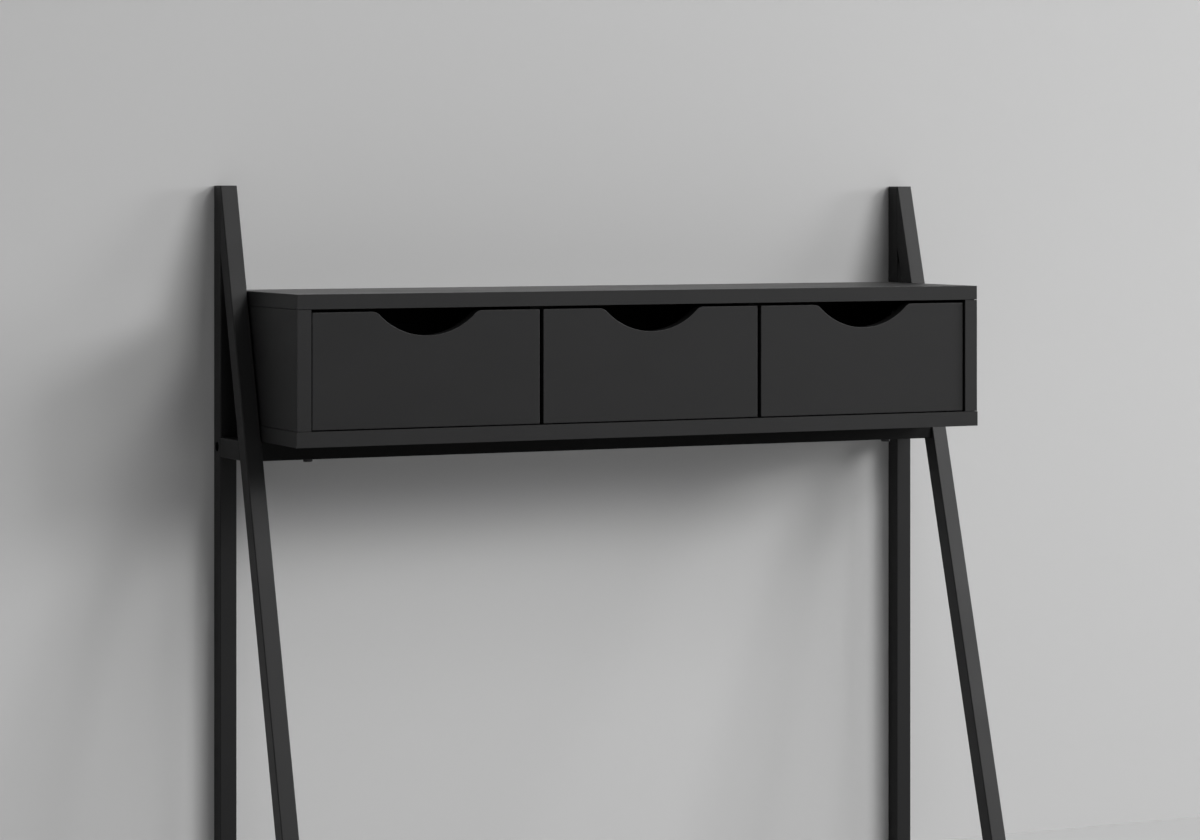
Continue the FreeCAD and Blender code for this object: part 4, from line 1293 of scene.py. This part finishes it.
@dataclass
class Case:
    """The box: its boards, and the screws, cams and dowels that join them."""

    shop: Shop
    hardware: Hardware
    outer_edge: Edge = Edge(0.7, 3)
    inner_edge: Edge = Edge(0.4)
    lock_edge: Edge = Edge(0.3)
    seam: float = 0.6
    seam_depth: float = 2.5
    case_screw: Fastener = Fastener(9.6, 2.35, 5, 45, Recess.CROSS, 4.6, 1.9, 0.25)
    slide_screw: Fastener = Fastener(6.4, 1.2, 3.6, 8, Recess.CROSS, 3.4, 0.9, 0.7)
    channels: Sequence[Box] = field(default_factory=channel_boxes)

    def build(self) -> None:
        """Build and mount the box."""
        self.shop.dress("top_panel", Slot.DESKTOP, self.outer_edge)
        self.shop.dress("base_panel", Slot.BOX, self.outer_edge)
        for side in Side:
            self.side_panel(side)
        self.shop.dress("left_divider", Slot.BOX, self.inner_edge)
        self.shop.dress("right_divider", Slot.BOX, self.inner_edge)
        self.shop.dress("back_panel", Slot.HARDBOARD, self.inner_edge)
        self.shop.dress("cam_locks", Slot.ZINC, self.lock_edge)
        self.shop.paint("cam_bolts", Slot.ZINC)
        self.shop.paint("case_dowels", Slot.DOWEL)
        self.screws()

    def side_panel(self, side: Side) -> None:
        """An upright board with a fine shadow line along its top and bottom joints.

        Args:
            side: the side of the box.
        """
        node = side.part("side_panel")
        low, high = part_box(node)
        line, depth, over = self.seam * MM, self.seam_depth * MM, MM
        left = side is Side.LEFT
        near, far = (low.x - over, low.x + depth) if left else (high.x - depth, high.x + over)
        cutters = []
        for start, end in ((low.z - over, low.z + line), (high.z - line, high.z + over)):
            cutters.append(block("seam", (near, low.y - over, start), (far, high.y + over, end)))
            begin, stop = (low.x - over, low.y - over, start), (high.x + over, low.y + depth, end)
            cutters.append(block("seam", begin, stop))
        self.shop.dress(node, Slot.BOX, self.outer_edge, cutters=cutters)

    def screws(self) -> None:
        """The screws up through the base, and the pan-head screws of the slides."""
        down = self.case_screw, Slot.ZINC, lambda low, high: DOWN
        self.hardware.fit("case_screws", *down, seed=7)
        nodes = ["case_slide_screws"] + [bay.part("drawer_slide_screws") for bay in Bay]
        for seed, node in enumerate(nodes, start=20):
            self.hardware.fit(node, self.slide_screw, Slot.ZINC, self.head_aim, seed)

    def head_aim(self, low: Vector, high: Vector) -> Point:
        """The way in which a slide screw's head points: the head's end lies in a channel.

        Args:
            low: the lowest corner of the screw's box.
            high: its highest corner.

        Returns:
            The way, along X.
        """
        for first, last in self.channels:
            inside = [first.x - MM < end.x < last.x + MM for end in (low, high)]
            if inside[0] != inside[1]:
                return (-1, 0, 0) if inside[0] else (1, 0, 0)
        raise ValueError("a slide screw lies in no slide")


@dataclass
class Drawer:
    """One drawer: scooped front, sides, back, floor, and its slides."""

    shop: Shop
    bay: Bay
    scoop_width: float = 146.0
    scoop_depth: float = 30.0
    scoop_fillet: float = 14.0
    scoop_steps: int = 72
    fillet_steps: int = 14
    front_edge: Edge = Edge(0.9, 4)
    wall_edge: Edge = Edge(0.8, 3)
    floor_edge: Edge = Edge(0.3)
    slide_edge: Edge = Edge(0.22)
    cage_edge: Edge = Edge(0.12)
    dowel_hole: float = 6.1
    dowel_depth: float = 8.5

    def build(self) -> None:
        """Build and mount the drawer and its slides."""
        self.front()
        for part in ("drawer_left_side", "drawer_right_side", "drawer_back"):
            self.shop.dress(self.bay.part(part), Slot.DRAWER, self.wall_edge)
        self.shop.dress(self.bay.part("drawer_floor"), Slot.HARDBOARD, self.floor_edge)
        self.shop.paint(self.bay.part("drawer_dowels"), Slot.DOWEL)
        self.shop.dress(self.bay.part("case_slides"), Slot.SLIDE, self.slide_edge)
        self.shop.dress(self.bay.part("drawer_slides"), Slot.SLIDE, self.slide_edge)
        self.shop.dress(self.bay.part("slide_cages"), Slot.ZINC, self.cage_edge)

    def outline(self, low: Vector, high: Vector) -> list[Flat]:
        """The front's outline with its scooped grip, counter-clockwise from the lower left.

        Args:
            low: the front's lowest corner.
            high: its highest corner.

        Returns:
            The outline's points in X and Z.
        """
        half, small = self.scoop_width / 2 * MM, self.scoop_fillet * MM
        deep = self.scoop_depth * MM
        large = (half**2 + deep**2) / (2 * deep) - small
        middle, rise = (low.x + high.x) / 2, large - deep
        lean = math.atan2(rise + small, half)
        points = [(low.x, low.z), (high.x, low.z), (high.x, high.z)]
        shoulder, quarter = high.z - small, math.pi / 2
        for across, up, radius, start, end, steps in (
            (middle + half, shoulder, small, quarter, math.pi - lean, self.fillet_steps),
            (middle, high.z + rise, large, -lean, lean - math.pi, self.scoop_steps),
            (middle - half, shoulder, small, lean, quarter, self.fillet_steps),
        ):
            for step in range(steps + 1):
                angle = start + (end - start) * step / steps
                point = (across + radius * math.cos(angle), up + radius * math.sin(angle))
                if math.dist(point, points[-1]) > 10 * MERGE:
                    points.append(point)
        return points + [(low.x, high.z)]

    def front(self) -> None:
        """The front, rounded all round, with the dowel holes and floor groove in its back."""
        node = self.bay.part("drawer_front")
        low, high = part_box(node)
        cutters = []
        for dowel in islands(self.bay.part("drawer_dowels")):
            if dowel[0].y < high.y:
                centre = (dowel[0] + dowel[1]) / 2
                start, depth = (centre.x, high.y, centre.z), self.dowel_depth * MM
                cutters.append(drill(start, (0, -1, 0), self.dowel_hole, depth))
        floor_low, floor_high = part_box(self.bay.part("drawer_floor"))
        play, seat = 0.1 * MM, 0.5 * MM
        start = (floor_low.x - play, floor_low.y - seat, floor_low.z - play)
        end = (floor_high.x + play, high.y + MM, floor_high.z + play)
        cutters.append(block("floor_groove", start, end))
        item = prism(node + FINISH, self.outline(low, high), low.y, high.y)
        self.shop.dress(node, Slot.FRONT, self.front_edge, item, cutters)


# ---- studio --------------------------------------------------------------------------------


@dataclass(frozen=True)
class Lamp:
    """A square soft box: angles in degrees, size and distance in metres, power in watts."""

    name: str
    azimuth: float
    elevation: float
    size: float
    power: float
    distance: float = 9.5
    spread: float = 100.0
    aim: Point = (0.0, 0.0, 0.62)

    def hang(self) -> None:
        """Put the lamp into the scene and aim it at the desk."""
        data = bpy.data.lights.new(self.name, "AREA")
        data.size, data.energy, data.spread = self.size, self.power, math.radians(self.spread)
        lamp = new_object(self.name, data)
        turn, rise = math.radians(self.azimuth), math.radians(self.elevation)
        level = math.cos(rise)
        away = Vector((level * math.sin(turn), -level * math.cos(turn), math.sin(rise)))
        lamp.location = Vector(self.aim) + self.distance * away
        lamp.rotation_euler = (-away).to_track_quat("-Z", "Y").to_euler()


@dataclass(frozen=True)
class Studio:
    """Floor, wall, light and camera."""

    camera_place: Point = (-1.9424, -4.0146, 0.8988)
    camera_turn: float = 25.474
    lens: float = 103.876
    frame_shift: float = -0.18665
    wall_y: float = 0.1427
    reach: float = 11.0
    wall_colour: Point = (0.52, 0.52, 0.52)
    floor_colour: Point = (0.71, 0.71, 0.71)
    backdrop: float = 0.36
    sky_heights: Flat = (-0.4, 0.8)
    sky_strengths: Flat = (0.02, 0.03)
    farthest: float = 60.0
    lamps: tuple[Lamp, ...] = (
        Lamp("side", 75, 8, 1.9, 93), Lamp("key", 50, 20, 2.4, 94), Lamp("low", 38, 20, 2.6, 44),
        Lamp("high", 38, 45, 2.6, 53), Lamp("front", 20, 33, 2.7, 50),
        Lamp("fill", -10, 20, 2.6, 16), Lamp("back_left", 192, 28, 3.8, 40),
        Lamp("back_right", 160, 24, 3.8, 44), Lamp("left", -93, 14, 3.8, 12),
    )

    def build(self) -> None:
        """Set the stage."""
        self.floor()
        self.wall()
        for lamp in self.lamps:
            lamp.hang()
        self.sky()
        self.camera()
        bpy.context.scene.view_settings.view_transform = "Standard"

    def _plane(self, name: str, low: Point, high: Point, material: Material) -> None:
        """A flat stage piece.

        Args:
            name: its name.
            low: its lower left corner.
            high: its upper right corner.
            material: its paint.
        """
        corners = [low, (high[0], *low[1:]), high, (low[0], *high[1:])]
        mesh = bpy.data.meshes.new(name)
        mesh.from_pydata(corners, [], [range(len(corners))])
        mesh.materials.append(material)
        new_object(name, mesh)

    def floor(self) -> None:
        """A plain pale floor."""
        coat = Coat("floor_paint")
        soft = tuple(0.97 * part for part in self.floor_colour)
        colour = coat.blend(coat.noise(400, 3.0), soft, self.floor_colour)
        far, paint = self.reach, coat.close(colour, 1.0, gloss=0.0)
        self._plane("floor", (-far, -far, 0), (far, far, 0), paint)

    def wall(self) -> None:
        """A plain wall that shows from the front only, so the desk's back can be seen too."""
        coat = Coat("wall_paint")
        seen = coat.rays("Camera", "Glossy")
        behind = Value(coat.node("ShaderNodeNewGeometry").outputs["Backfacing"])
        paint = coat.node("ShaderNodeBsdfDiffuse", {"Color": (*self.wall_colour, 1)})
        clear = coat.node("ShaderNodeBsdfTransparent")
        sockets = {0: seen * (1.0 - behind), 1: clear.outputs[0], 2: paint.outputs[0]}
        mixed = coat.node("ShaderNodeMixShader", sockets)
        coat.node("ShaderNodeOutputMaterial", {"Surface": mixed.outputs[0]})
        far = self.reach
        self._plane("wall", (-far, self.wall_y, 0), (far, self.wall_y, far), coat.material)

    def sky(self) -> None:
        """Faint even light from above, less from below, and a plain backdrop for the eye."""
        world = bpy.data.worlds.new("studio")
        bpy.context.scene.world = world
        world.use_nodes = True
        graph = Graph(world.node_tree)
        graph.tree.nodes.clear()
        place = graph.node("ShaderNodeTexCoord").outputs["Generated"]
        height = graph.node("ShaderNodeSeparateXYZ", {0: place}).outputs["Z"]
        sockets = dict(enumerate((height, *self.sky_heights, *self.sky_strengths)))
        ramp = graph.node("ShaderNodeMapRange", sockets, clamp=True).outputs[0]
        sockets = {0: graph.rays("Camera", "Glossy", "Transmission")}
        for order, (grey, strength) in enumerate(((1.0, ramp), (self.backdrop, 1.0)), start=1):
            glow = {"Color": (grey, grey, grey, 1), "Strength": strength}
            sockets[order] = graph.node("ShaderNodeBackground", glow).outputs[0]
        mixed = graph.node("ShaderNodeMixShader", sockets)
        graph.node("ShaderNodeOutputWorld", {"Surface": mixed.outputs[0]})

    def camera(self) -> None:
        """A level camera from the left, its frame shifted down."""
        data = bpy.data.cameras.new("camera")
        data.lens = self.lens
        data.shift_y = self.frame_shift
        data.clip_end = self.farthest
        camera = new_object("camera", data)
        camera.location = self.camera_place
        camera.rotation_euler = (math.pi / 2, 0, -math.radians(self.camera_turn))
        bpy.context.scene.camera = camera


def main() -> None:
    Studio().build()
    shop = Shop(make_finishes())
    hardware = Hardware(shop)
    frames = [SideFrame(shop, side) for side in Side]
    for side_frame in frames:
        side_frame.build()
    Undercarriage(shop, hardware, frames).build()
    Case(shop, hardware).build()
    for bay in Bay:
        Drawer(shop, bay).build()
    log.info("size file written")


if __name__ == "__main__":
    logging.basicConfig(level=logging.INFO, format="%(name)s %(message)s")
    main()
